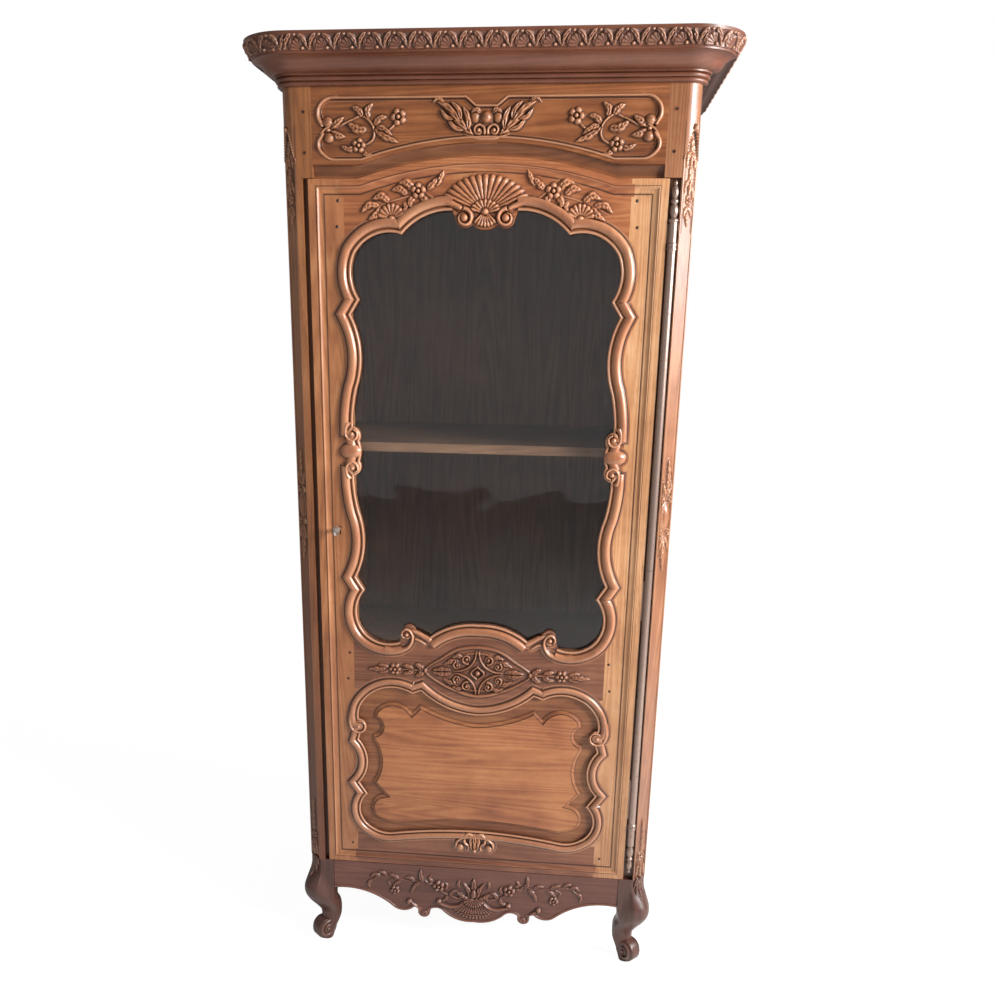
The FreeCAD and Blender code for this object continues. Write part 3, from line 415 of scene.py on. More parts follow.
GLASS_SIGHT = Line((0, 1457), (
    ((14, 1459), (25, 1467)), ((44, 1460), (60, 1478)), ((66, 1492),), ((122, 1482), (170, 1447)),
    ((226, 1445), (268, 1410)), ((276, 1370), (260, 1320)), ((279, 1290),),
    ((259.5, 1228), (269, 1140)), ((276, 1103), (279, 1060)), ((263, 1044), (266, 1029)),
    ((262, 1007), (266, 985)), ((263, 970), (279, 954)), ((276, 911), (269, 874)),
    ((259.5, 786), (279, 724)), ((260, 694),), ((279, 645), (262, 594)), ((226, 572), (180, 575)),
    ((175, 596),), ((160, 615), (144, 602)), ((116, 585),), ((65, 615), (0, 624)),
))
PANEL_SIGHT = Line((0, 403), (
    ((70, 418), (131, 457)), ((152, 449),), ((222, 458), (268, 425)), ((279, 402), (280, 379)),
    ((262, 362), (276, 344)), ((281, 326),), ((260, 266), (282, 214)), ((262, 185),),
    ((280, 140), (252, 95)), ((226, 84), (200, 84)), ((100, 97), (0, 102)),
))
PANEL_FIELD = Line((0, 380), (
    ((65, 392), (133, 421)), ((153, 401),), ((196, 424), (243, 398)), ((244, 382),),
    ((228, 362), (248, 340)), ((249, 325),), ((233, 266), (251, 216)), ((224, 184),),
    ((255, 146), (228, 112)), ((200, 105),), ((100, 117), (0, 124)),
))
FRIEZE_PANEL = Line((0, 1683), (
    ((20, 1683),), ((40, 1699),), ((308, 1699),), ((337, 1672), (318, 1645)),
    ((337, 1613), (308, 1583)), ((250, 1583),), ((130, 1612), (0, 1623)),
))
APRON_EDGE = Line((0, -150), (
    ((38, -147), (78, -122)), ((95, -117), (110, -124)), ((122, -145), (136, -122)), ((148, -118),),
    ((172, -130), (200, -122)), ((262, -86), (349, -79)),
), closed=False)


def arch_line(drop: float, half: float, bottom: float | None = None) -> Line:
    """Draws a line inside the door's edge, level with its arched head.

    Args:
        drop: distance under the edge along the head.
        half: half the line's width.
        bottom: height of its foot; without one the line stays open at its shoulders.

    Returns:
        The line.
    """
    shoulder = SHOULDER - drop
    radius = ARCH_RADIUS - drop
    reach = math.sqrt(radius ** 2 - (shoulder - ARCH_CENTRE) ** 2)
    crown = ARCH_CENTRE + radius
    quarter = ARCH_CENTRE + math.sqrt(radius ** 2 - reach ** 2 / 4)
    head: tuple[Step, ...] = (((reach / 2, quarter), (reach, shoulder)), ((half, shoulder),))
    if bottom is None:
        return Line((0, crown), head, closed=False)
    return Line((0, crown), (*head, ((half, bottom),), ((0, bottom),)))


def sweep(line: np.ndarray, mitre: np.ndarray, across: np.ndarray, back: np.ndarray) -> np.ndarray:
    """Places a section at each point of a line.

    Args:
        line: the line's points.
        mitre: each point's direction away from the line.
        across: the section's distances from the line, one row for each point.
        back: how far back the section's points lie.

    Returns:
        The places in the door's frame.
    """
    place = line[:, None, :] + mitre[:, None, :] * across[..., None]
    return np.stack([place[..., 0], back, place[..., 1]], axis=2)


@dataclass
class Moulding:
    """A moulded strip that follows a line, mitred at the corners."""

    profile: Sequence[Point]
    ground: float = FIELD
    depth: float = 3.0
    # distances of lines along the strip that are darkened as painted shade
    shade_lines: Sequence[float] = ()

    def columns(self, line: np.ndarray, closed: bool) -> tuple[np.ndarray, np.ndarray]:
        """Finds each column's direction away from the line, and how far it may run.

        Args:
            line: the line's points.
            closed: whether the line is a loop.

        Returns:
            The mitred directions, and the distance at which a column meets its neighbours.
        """
        ahead, behind = np.roll(line, -1, axis=0), np.roll(line, 1, axis=0)
        out, back = ahead - line, line - behind
        if not closed:
            out[-1], back[0] = back[-1], out[0]
        sides = [np.column_stack([v[:, 1], -v[:, 0]]) / np.linalg.norm(v, axis=1)[:, None]
                 for v in (out, back)]
        dot = np.clip((sides[0] * sides[1]).sum(axis=1), -0.6, 1.0)
        mitre = (sides[0] + sides[1]) / (1 + dot)[:, None]
        starts = line if closed else line[:-1]
        runs = (ahead - line) if closed else (ahead - line)[:-1]
        spans = (runs ** 2).sum(axis=1)
        far = max(d for d, _ in self.profile)
        reach = np.full(len(line), far)
        for distance in np.arange(1.0, far + 0.5, 0.75):
            tips = line + mitre * distance
            offsets = tips[:, None, :] - starts[None, :, :]
            along = np.clip((offsets * runs).sum(axis=2) / spans, 0, 1)
            nearest = np.sqrt(((offsets - along[..., None] * runs) ** 2).sum(axis=2)).min(axis=1)
            reach[(nearest < distance - 0.3) & (reach > distance)] = distance
        return mitre, reach

    def build(self, name: str, line: np.ndarray, closed: bool = True) -> bpy.types.Object:
        """Makes the strip.

        Args:
            name: the piece's name.
            line: the line's points; the strip lies on its right.
            closed: whether the line is a loop.

        Returns:
            The closed, finished object.
        """
        mitre, reach = self.columns(line, closed)
        d, h = np.array(self.profile).T
        front = np.minimum(d, reach[:, None])
        heights = np.where(d <= reach[:, None], h, np.interp(reach, d, h)[:, None])
        across = np.hstack([front, front[:, -1:], front[:, :1]])
        up = np.hstack([heights, np.full((len(line), 2), -self.depth)])
        points = sweep(line, mitre, across, self.ground - up)
        piece = new_piece(name, points, ring_faces(*across.shape, closed))
        mark_points(piece.data, np.broadcast_to(np.append(self.hollows(d, h), (-1.0, -1.0)), across.shape))
        return close_up(piece, gap=0.05)

    def hollows(self, d: np.ndarray, h: np.ndarray) -> np.ndarray:
        """Measures how far each point of the section stands over its neighbourhood.

        Args:
            d: distances from the line.
            h: heights.

        Returns:
            Heights over the local mean, lowered along the painted shade lines: negative in the grooves,
            positive on the beads.
        """
        near = np.linspace(-4.5, 4.5, 37)
        weight = 1 - (near / 5.0) ** 2
        around = np.interp(d[:, None] + near, np.maximum.accumulate(d), h.clip(-1.5, None))
        # Painted shade darkens the strip along these lines.
        dirt_and_shade = sum((1.5 * np.exp(-((d - shade_line) / 1.2) ** 2) for shade_line in self.shade_lines), np.zeros(len(d)))
        return h - (around * weight).sum(axis=1) / weight.sum() - dirt_and_shade


def half_round(start: float, width: float, base: float, height: float, count: int = 8) -> list[Point]:
    """Draws the rounded back of a bead in a moulding's section.

    Args:
        start: distance from the line at which the bead starts.
        width: its width.
        base: height at its feet.
        height: how far it stands over its feet.
        count: number of divisions.

    Returns:
        Points of the section.
    """
    turns = [math.pi * k / count for k in range(count + 1)]
    return [(start + width * (1 - math.cos(t)) / 2, base + height * math.sin(t)) for t in turns]


# Finishes


def linear(colour: str) -> tuple[float, float, float, float]:
    """Turns an sRGB hex colour to linear light.

    Args:
        colour: six hex digits.

    Returns:
        Red, green, blue and full alpha.
    """
    parts = [int(colour[i:i + 2], 16) / 255 for i in (0, 2, 4)]
    light = [c / 12.92 if c <= 0.04045 else ((c + 0.055) / 1.055) ** 2.4 for c in parts]
    return (light[0], light[1], light[2], 1.0)


def add_node(tree: bpy.types.NodeTree, kind: str, links: dict[object, object] | None = None,
             out: int | str = 0, **settings: object) -> bpy.types.NodeSocket | None:
    """Adds a shader node.

    Args:
        tree: the material's or world's nodes.
        kind: Blender's name of the node's type, without its ShaderNode.
        links: for each input, by name or number, the socket that feeds it or its value.
        out: the output that is wanted.
        settings: values of the node's own properties.

    Returns:
        That output, or None if the node has no outputs.
    """
    node = tree.nodes.new(f"ShaderNode{kind}")
    for key, value in settings.items():
        setattr(node, key, value)
    for key, value in (links or {}).items():
        if isinstance(value, bpy.types.NodeSocket):
            tree.links.new(value, node.inputs[key])
        else:
            node.inputs[key].default_value = value
    return node.outputs[out] if node.outputs else None


def set_stops(ramp: bpy.types.ColorRamp, stops: Sequence[tuple[float, str]]) -> None:
    """Sets a colour ramp's stops.

    Args:
        ramp: the ramp.
        stops: each stop's place and sRGB hex colour.
    """
    while len(ramp.elements) < len(stops):
        ramp.elements.new(0.5)
    for element, (place, colour) in zip(ramp.elements, stops):
        element.position, element.color = place, linear(colour)


def new_material(name: str) -> tuple[bpy.types.Material, Callable[..., bpy.types.NodeSocket]]:
    """Starts a material with empty nodes.

    Args:
        name: the material's name.

    Returns:
        The material, and the function that adds a node to it.
    """
    material = bpy.data.materials.new(name)
    material.use_nodes = True
    material.node_tree.nodes.clear()
    return material, partial(add_node, material.node_tree)


class Grain(Enum):
    """Direction in which a board's grain runs."""

    UPRIGHT = (1.0, 1.0, 0.06)
    ACROSS = (0.06, 1.0, 1.0)
    DEEP = (1.0, 0.06, 1.0)


@dataclass(frozen=True)
class WaxedWood:
    """Old waxed timber: figure and pores along the grain, dirt and painted shade in the carving's hollows,
    pale crests that are wear and painted highlight, and a soft sheen."""

    name: str
    grain: Grain
    dark: str
    middle: str
    light: str
    shift: tuple[float, float, float] = (0.0, 0.0, 0.0)
    figure: float = 1.0
    roughness: float = 0.42
    coat: float = 0.25
    foot: float = 0.45
    reach: float = 0.95
    streaky: float = 0.75
    # colour of the crests: wear, and a painted highlight
    edge: str = "DBA684"

    def build(self) -> bpy.types.Material:
        """Makes the material.

        Returns:
            The finished material.
        """
        material, add = new_material(self.name)
        coords = add("TexCoord", out="Object")
        place = add("Mapping", {"Vector": coords, "Location": self.shift})
        along = add("Mapping", {"Vector": place, "Scale": self.grain.value})
        drift = add("TexNoise", {"Vector": along, "Scale": 9.0, "Detail": 2.0, "Roughness": 0.5})
        bend = add("VectorMath", {0: along, 1: (1.0, 1.0, 1.0), 2: drift}, operation="MULTIPLY_ADD")
        rings = add("TexWave", {
            "Vector": bend, "Scale": 6.0, "Distortion": 4.0, "Detail": 3.0, "Detail Scale": 1.4,
            "Detail Roughness": 0.6}, "Fac", wave_type="BANDS", bands_direction="DIAGONAL")
        streaks = add("TexNoise", {
            "Vector": along, "Scale": 75.0, "Detail": 6.0, "Roughness": 0.7, "Distortion": 0.3})
        clouds = add("TexNoise", {"Vector": place, "Scale": 6.0, "Detail": 5.0, "Roughness": 0.6})
        figure: bpy.types.NodeSocket | float = -0.1 * self.figure
        for wave, share in ((rings, 0.2 * self.figure), (streaks, self.streaky), (clouds, CLOUDY)):
            figure = add("Math", {0: wave, 1: share, 2: figure}, operation="MULTIPLY_ADD")
        mean = (self.streaky + CLOUDY) / 2
        figure = add("MapRange", {"Value": figure, "From Min": mean - 0.3, "From Max": mean + 0.3})
        colour = add("ValToRGB", {"Fac": figure})
        set_stops(colour.node.color_ramp, ((0.0, self.dark), (0.5, self.middle), (1.0, self.light)))
        # Walnut's pores are a third of a millimetre wide, drawn three times as coarse so that they show.
        fine = add("TexNoise", {"Vector": along, "Scale": 620.0, "Detail": 1.0})
        height = add("SeparateXYZ", {"Vector": coords}, "Z")
        relief = add("Attribute", out="Fac", attribute_name="relief")
        # Pores, and a darker brown towards the bottom; the relief gives the hollows dirt and painted shade,
        # and the crests wear and a painted highlight.
        pores, low, hollow, wear_and_highlight = (
            add("MapRange", {"Value": value, "From Min": start, "From Max": end, "To Max": most})
            for value, start, end, most in (
                (fine, 0.60, 0.74, 0.35), (height, self.reach, 0.05, self.foot),
                (relief, -0.15, -1.35, 0.92), (relief, 0.2, 1.6, 0.45)))
        for amount, other in ((pores, "4A2614"), (low, "5E3427"), (hollow, "2E150A"), (wear_and_highlight, self.edge)):
            colour = add("Mix", {"Factor": amount, 6: colour, 7: linear(other)}, 2, data_type="RGBA")
        gloss: bpy.types.NodeSocket | float = self.roughness - 0.11
        for wave, share in ((hollow, 0.35), (clouds, 0.22)):
            gloss = add("Math", {0: wave, 1: share, 2: gloss}, operation="MULTIPLY_ADD")
        bumps = add("Math", {0: pores, 1: -0.6, 2: streaks}, operation="MULTIPLY_ADD")
        bump = add("Bump", {"Height": bumps, "Strength": 0.15, "Distance": 0.0008})
        shader = add("BsdfPrincipled", {
            "Base Color": colour, "Roughness": gloss, "Normal": bump, "IOR": 1.48,
            "Coat Weight": self.coat, "Coat Roughness": 0.28, "Coat IOR": 1.5})
        add("OutputMaterial", {"Surface": shader})
        return material


@dataclass(frozen=True)
class WornMetal:
    """Old metal with patches of rust or tarnish, darker and duller than the rest, and finely pitted."""

    name: str
    bright: str
    stain: str
    metallic: float
    roughness: float
    spots: float

    def build(self) -> bpy.types.Material:
        """Makes the material.

        Returns:
            The finished material.
        """
        material, add = new_material(self.name)
        coords = add("TexCoord", out="Object")
        # Tarnish comes in patches of about 6 mm, pitted at 1 mm.
        patches = add("TexNoise", {"Vector": coords, "Scale": 160.0, "Detail": 5.0, "Roughness": 0.6})
        pits = add("TexNoise", {"Vector": coords, "Scale": 900.0, "Detail": 2.0})
        stained = add("MapRange", {
            "Value": patches, "From Min": 0.62 - self.spots / 3, "From Max": 0.66})
        colour = add("Mix", {"Factor": stained, 6: linear(self.bright), 7: linear(self.stain)}, 2,
                     data_type="RGBA")
        rough = add("Math", {0: stained, 1: 0.3, 2: self.roughness}, operation="MULTIPLY_ADD")
        bump = add("Bump", {"Height": pits, "Strength": 0.12, "Distance": 0.0003})
        shader = add("BsdfPrincipled", {
            "Base Color": colour, "Metallic": self.metallic, "Roughness": rough, "Normal": bump})
        add("OutputMaterial", {"Surface": shader})
        return material


@dataclass(frozen=True)
class OldGlass:
    """Drawn window glass: slightly grey and wavy, so that reflections swim on it."""

    name: str
    tint: str
    shade: str

    def build(self) -> bpy.types.Material:
        """Makes the material.

        Returns:
            The finished material.
        """
        material, add = new_material(self.name)
        # The waves of drawn glass are 60 to 150 mm long.
        waves = add("TexNoise", {
            "Vector": add("TexCoord", out="Object"), "Scale": 9.0, "Detail": 1.0})
        bump = add("Bump", {"Height": waves, "Strength": 0.3, "Distance": 0.003})
        pane = add("BsdfPrincipled", {
            "Base Color": linear(self.tint), "Roughness": 0.03, "IOR": 1.5, "Normal": bump,
            "Transmission Weight": 1.0})
        # Light passes straight through, so that the pane's shadow is a soft grey.
        clear = add("BsdfTransparent", {"Color": linear(self.shade)})
        both = add("MixShader", {0: add("LightPath", out="Is Shadow Ray"), 1: pane, 2: clear})
        add("OutputMaterial", {"Surface": both})
        return material


class Finish(Enum):
    """Every finish of the cabinet, made when it is first used."""

    # Golden upright boards with a plain straight figure; the right one is a lighter copy, painted light.
    STILE = WaxedWood(
        "waxed_walnut_upright", Grain.UPRIGHT, "8E5634", "B27349", "C98D60", streaky=0.25)
    RIGHT_STILE = WaxedWood(
        "waxed_walnut_right_stile_painted_light", Grain.UPRIGHT, "A26D49", "CB9365", "E1AF85",
        shift=(0.0, 0.3, 0.4), streaky=0.25)
    # Reddish rails with dark streaks, browner and duller near the floor.
    RAIL = WaxedWood(
        "waxed_walnut_across", Grain.ACROSS, "824829", "A8653E", "C08355",
        shift=(0.31, 0.2, 0.13), streaky=0.6)
    LOW_RAIL = WaxedWood(
        "waxed_walnut_low_rails", Grain.ACROSS, "5C3220", "7C4B34", "966346",
        shift=(0.61, 0.2, 0.53), streaky=0.6, foot=0.2, edge="B27C5B")
    # Rounds that dusters have passed over: glossy, with pale crests of wear and painted highlight.
    MOULDING = WaxedWood(
        "waxed_walnut_mouldings", Grain.UPRIGHT, "7E4629", "A86A45", "C48C65",
        shift=(0.25, 0.1, 0.6), figure=0.3, streaky=0.3, coat=0.8, roughness=0.34)
    # A board picked for its figure, warm and streaked from side to side.
    PANEL = WaxedWood(
        "waxed_walnut_figured", Grain.ACROSS, "834728", "AE6B40", "CA8855",
        shift=(0.7, 0.1, 0.42), figure=1.1, streaky=0.6)
    # Posts polished by use; the left one is a darker copy, painted shade, darker still up to above its
    # middle.
    POST = WaxedWood(
        "waxed_walnut_right_post", Grain.UPRIGHT, "6A3D23", "8E5937", "A87350",
        shift=(0.9, 0.4, 0.3), coat=0.6, roughness=0.38, foot=0.6, streaky=0.2, edge="BE8864")
    DARK_POST = WaxedWood(
        "waxed_walnut_left_post_painted_shade", Grain.UPRIGHT, "704226", "9A6138", "B67B4E",
        shift=(0.5, 0.8, 0.1), roughness=0.4, foot=0.9, reach=1.85, streaky=0.25)
    # Feet nearly black with floor wax and knocks.
    LEG = WaxedWood(
        "waxed_walnut_legs", Grain.UPRIGHT, "2F1813", "462A22", "5F3D34",
        shift=(0.9, 0.4, 0.3), coat=0.3, roughness=0.4, foot=0.3, streaky=0.4, edge="9A7263")
    # Rails of the case, darker than the door's: orange-brown above, chocolate below.
    CASE_RAIL = WaxedWood(
        "waxed_walnut_frieze", Grain.ACROSS, "6B3A1F", "8E542E", "A76A40", shift=(0.52, 0.33, 0.77))
    APRON = WaxedWood(
        "waxed_walnut_apron", Grain.ACROSS, "472319", "60382D", "784B3C",
        shift=(0.2, 0.6, 0.91), foot=0.3, edge="A87962")
    # The cornice: dark, with a low sheen; its ends are a darker, dull copy, painted shade.
    CORNICE = WaxedWood(
        "waxed_walnut_cornice", Grain.ACROSS, "4C2718", "6A3C29", "82503A",
        shift=(0.11, 0.9, 0.2), figure=0.4, coat=0.35, streaky=0.5)
    CORNICE_END = WaxedWood(
        "dull_walnut_cornice_returns_painted_shade", Grain.DEEP, "28140E", "381D14", "48291D",
        shift=(0.6, 0.9, 0.2), figure=0.4, coat=0.0, roughness=0.75)
    # Framed sides in an even brown.
    SIDE = WaxedWood(
        "waxed_walnut_sides", Grain.UPRIGHT, "5E3723", "7C4F36", "936546", shift=(0.4, 0.7, 0.5))
    SIDE_RAIL = WaxedWood(
        "waxed_walnut_side_rails", Grain.DEEP, "5E3723", "7C4F36", "936546", shift=(0.8, 0.2, 0.6))
    # Boards inside, never waxed: dry, matt and greyer.
    BOARD = WaxedWood(
        "dry_carcass_board", Grain.ACROSS, "6A4630", "8A6144", "A07755",
        shift=(0.15, 0.35, 0.85), roughness=0.62, coat=0.0, foot=0.15)
    DEEP_BOARD = WaxedWood(
        "dry_carcass_batten", Grain.DEEP, "6A4630", "8A6144", "A07755",
        roughness=0.62, coat=0.0, foot=0.15)
    BACK_BOARD = WaxedWood(
        "dry_back_board", Grain.UPRIGHT, "593726", "7A5038", "936648",
        shift=(0.5, 0.25, 0.1), roughness=0.65, coat=0.0, foot=0.15)
    # End grain drinks the wax and turns almost black.
    PEG = WaxedWood("waxed_peg_end_grain", Grain.DEEP, "2C1710", "3F2317", "54301F", coat=0.1)
    GLASS = OldGlass("old_drawn_glass", "D2D5D8", "E4E6E2")
    # Hinges worn to a warm grey, a rusty lock, a key kept bright by use, browned brass.
    IRON = WornMetal("rubbed_forged_iron", "9A8378", "6A544A", 0.6, 0.3, 0.05)
    LOCK_IRON = WornMetal("dull_lock_iron", "6B6663", "43342C", 0.8, 0.45, 0.36)
    KEY_IRON = WornMetal("handled_key_iron", "DCD4CB", "8C8076", 0.9, 0.24, 0.05)
    BRASS = WornMetal("tarnished_brass", "B08D52", "6B5230", 0.95, 0.33, 0.28)

    @cached_property
    def material(self) -> bpy.types.Material:
        """The finish as a material."""
        return self.value.build()


# Carving


def glide(x: np.ndarray, knots: Sequence[float], values: Sequence[float]) -> np.ndarray:
    """Draws a smooth curve of values over rising knots.

    Args:
        x: places to read.
        knots: places of the known values, rising.
        values: the known values.

    Returns:
        The values at x.
    """
    k, y = np.array(knots, float), np.array(values, float)
    slopes = np.gradient(y, k)
    i = np.clip(np.searchsorted(k, x, side="right") - 1, 0, len(k) - 2)
    span = k[i + 1] - k[i]
    s = np.clip((x - k[i]) / span, 0, 1)
    return ((2 * s ** 3 - 3 * s ** 2 + 1) * y[i] + (s ** 3 - 2 * s ** 2 + s) * span * slopes[i]
            + (3 * s ** 2 - 2 * s ** 3) * y[i + 1] + (s ** 3 - s ** 2) * span * slopes[i + 1])


def ease(x: np.ndarray, low: float, high: float) -> np.ndarray:
    """Rises smoothly from 0 at low to 1 at high."""
    t = np.clip((x - low) / (high - low), 0, 1)
    return t * t * (3 - 2 * t)


def run_lengths(points: np.ndarray, power: float = 1.0) -> np.ndarray:
    """Adds up the steps along a path.

    Args:
        points: the path's points.
        power: power to which each step's length is raised.

    Returns:
        The sum up to each point, from 0.
    """
    steps = np.linalg.norm(np.diff(points, axis=0), axis=1) ** power
    return np.concatenate([[0], np.cumsum(steps)])


def smooth_path(points: Sequence[Point], count: int) -> np.ndarray:
    """Draws a smooth curve through points.

    Args:
        points: the points to pass, in order.
        count: number of points along the curve.

    Returns:
        Points of the curve.
    """
    p = np.array(points, float)
    if len(p) == 2:
        return p[0] + (p[1] - p[0]) * np.linspace(0, 1, count)[:, None]
    knots = run_lengths(p, 0.5)
    return np.column_stack([glide(np.linspace(0, knots[-1], count), knots, column) for column in p.T])


def enclosed(line: np.ndarray, u: np.ndarray, v: np.ndarray) -> np.ndarray:
    """Tells which points lie inside a loop.

    Args:
        line: the loop's points.
        u: the points' places across.
        v: their places up.

    Returns:
        Whether each point lies inside.
    """
    (ax, az), (bx, bz) = line.T[..., None], np.roll(line, -1, axis=0).T[..., None]
    x, z = u.ravel(), v.ravel()
    reach = ax + (z - az) * (bx - ax) / np.where(bz == az, 1e-9, bz - az)
    crossed = ((az > z) != (bz > z)) & (x < reach)
    return (crossed.sum(axis=0) % 2 == 1).reshape(u.shape)


def flat_face(level: float, side: int = 1) -> Placer:
    """Places carving on an upright board.

    Args:
        level: how far back the board's face lies.
        side: -1 for the mirror image.

    Returns:
        The function that places a point at a given height over the face.
    """
    return lambda u, v, h: np.stack([side * u, level - h, v], axis=-1)


def new_sheet(name: str, places: np.ndarray) -> bpy.types.Object:
    """Bends a grid to given places.

    Args:
        name: the object's name.
        places: the places of the grid's points, row by row.

    Returns:
        The open sheet.
    """
    rows, wide = places.shape[:2]
    piece = primitive(bpy.ops.mesh.primitive_grid_add, name, x_subdivisions=wide - 1,
                      y_subdivisions=rows - 1, size=1)
    piece.data.vertices.foreach_set("co", to_metres(places).ravel())
    return piece


@dataclass
class Relief:
    """Carving as heights over a ground, cut on a fine grid; each shape is laid over the last."""

    low: Point
    high: Point
    pitch: float = 1.2
    tall: float = 0.0
    mirror: bool = False
    skirt: float = 6.0

    def __post_init__(self) -> None:
        """Lays out the grid, a little under the ground."""
        pitches = (self.pitch, self.tall or self.pitch)
        self.count = [max(2, round((b - a) / p)) for a, b, p in zip(self.low, self.high, pitches)]
        u, v = (np.linspace(a, b, n + 1) for a, b, n in zip(self.low, self.high, self.count))
        self.v, self.u = np.meshgrid(v, u, indexing="ij")
        self.h = np.full(self.u.shape, BARE)

    def near(self, low: Point, high: Point) -> Area:
        """Finds the part of the grid inside a box.

        Args:
            low: the box's lower left corner.
            high: its upper right corner.

        Returns:
            The slices of the grid.
        """
        spans = []
        for axis in (1, 0):
            scale = self.count[axis] / (self.high[axis] - self.low[axis])
            a = int((low[axis] - self.low[axis]) * scale) - 1
            b = int((high[axis] - self.low[axis]) * scale) + 3
            spans.append(slice(max(a, 0), max(b, 0)))
        return spans[0], spans[1]

    def around(self, centre: Point, reach: float) -> tuple[Area, np.ndarray, np.ndarray]:
        """Finds the part of the grid round a point.

        Args:
            centre: the point.
            reach: how far to go from it.

        Returns:
            The slices of the grid, and how far its points lie across and up from the point.
        """
        (x, z), r = centre, reach
        area = self.near((x - r, z - r), (x + r, z + r))
        return area, self.u[area] - x, self.v[area] - z

    def along(self, points: np.ndarray, widths: np.ndarray, reach: float) -> Band:
        """Finds the part of the grid beside a path.

        Args:
            points: the path's points.
            widths: half the shape's width at each.
            reach: how far to go from the path.

        Returns:
            The slices of the grid, the path's point that each of its points is nearest to, and
            how far off that is in half widths.
        """
        area = self.near(points.min(0) - reach, points.max(0) + reach)
        u, v = self.u[area], self.v[area]
        q = np.hypot(u[..., None] - points[:, 0], v[..., None] - points[:, 1]) / widths
        best = q.argmin(axis=-1)
        return area, best, np.take_along_axis(q, best[..., None], -1)[..., 0]

    def lay(self, area: Area, height: np.ndarray, edge: np.ndarray) -> None:
        """Lays a shape over what is there, with a cut round it.

        Args:
            area: the part of the grid.
            height: the shape's height, under 0 outside it.
            edge: distance across the shape, 1 at its outline.
        """
        ground = self.h[area]
        cut = ground - np.exp(-((edge - 1.08) / 0.14) ** 2)
        self.h[area] = np.where(height > 0, np.maximum(height, np.minimum(ground, height + 0.6)),
                                np.where(ground > -0.5, np.maximum(cut, -0.25), height.clip(BARE, 0)))

    def mound(self, area: Area, shape: np.ndarray, top: float | np.ndarray, q: np.ndarray) -> None:
        """Lays a shape whose sides fall away evenly outside it.

        Args:
            area: the part of the grid.
            shape: the shape's height where q is under 1.
            top: height from which the sides fall.
            q: distance across the shape, 1 at its outline.
        """
        self.lay(area, np.where(q < 1, np.maximum(shape, 0.01), top * (1 - q)), q)

    def stroke(self, path: Sequence[Point], widths: Sequence[float], heights: Sequence[float]) -> None:
        """Adds a rounded band along a smooth path.

        Args:
            path: points that the band passes.
            widths: half widths along it.
            heights: heights along it.
        """
        points = smooth_path(path, 24 + 10 * len(path))
        runs = run_lengths(points)
        w, top = (np.interp(runs / runs[-1], np.linspace(0, 1, len(v)), v) for v in (widths, heights))
        area, best, q = self.along(points, w, w.max() * 1.4)
        self.mound(area, top[best] * (1 - q ** 2.2), top[best], q)

    def leaf(self, path: Sequence[Point], width: float, height: float, lobes: int = 0,
             cut: float = 0.3, veins: int = 5, tip: float = 0.75) -> None:
        """Adds a leaf along a curved rib.

        Args:
            path: the rib from stalk to tip.
            width: half the leaf's greatest width.
            height: how far it stands over the ground.
            lobes: number of lobes along each side.
            cut: depth of the notches between lobes, as a share of the width.
            veins: number of side veins.
            tip: how soon the leaf is widest; smaller is nearer the stalk.
        """
        points = smooth_path(path, 40)
        runs = run_lengths(points)
        share = runs / runs[-1]
        w = width * np.sin(np.pi * np.clip(share, 0.02, 0.985) ** tip) ** 0.75
        if lobes:
            w *= 1 - cut * (0.5 + 0.5 * np.cos(2 * np.pi * lobes * share)) ** 2
        w = np.maximum(w, 0.8)
        area, best, q = self.along(points, w, width * 1.4)
        t = share[best]
        ribs = 0.5 + 0.5 * np.cos(2 * np.pi * (veins * t - 0.9 * q))
        body = (1 - q ** 3) * (0.62 + 0.38 * np.sin(np.pi * t) + 0.88 * q * (1 - q)) * (0.8 + 0.2 * ribs)
        midrib = 0.24 * height * np.exp(-(q * w[best] / 1.2) ** 2) * (1 - t)
        self.mound(area, height * body - midrib, height, q)

    def dome(self, centre: Point, across: float, up: float, height: float, power: float = 2.0,
             dish: float = 0.0) -> None:
        """Adds a rounded boss.

        Args:
            centre: its middle.
            across: half its width.
            up: half its height.
            height: how far it stands over the ground.
            power: how flat its top is.
            dish: depth of a hollow in its middle.
        """
        area, x, z = self.around(centre, max(across, up) * 1.35)
        q = np.hypot(x / across, z / up)
        shape = height * (1 - q.clip(0, 1) ** power) ** 0.6 - dish * np.exp(-(q / 0.45) ** 2)
        self.mound(area, shape, height, q)

    def rosette(self, centre: Point, radius: float, height: float, petals: int = 5,
                turn: float = 0.0) -> None:
        """Adds an open flower with a button in the middle.

        Args:
            centre: its middle.
            radius: its greatest radius.
            height: how far the petals stand over the ground.
            petals: number of petals.
            turn: angle in degrees of the first petal.
        """
        area, x, z = self.around(centre, radius * 1.35)
        lobe = np.abs(np.cos(petals * (np.arctan2(z, x) - math.radians(turn)) / 2))
        r = np.hypot(x, z)
        q = r / (radius * (0.70 + 0.30 * lobe ** 0.6))
        petal = height * (1 - q.clip(0, 1) ** 5) * (0.35 + 0.65 * lobe ** 0.5) * (0.55 + 0.55 * q)
        button = height * 1.15 * np.sqrt(np.clip(1 - (r / (radius * 0.27)) ** 2, 0, 1))
        ring = -0.5 * height * np.exp(-((r / radius - 0.33) / 0.07) ** 2)
        self.mound(area, np.maximum(petal + ring, button), height, q)

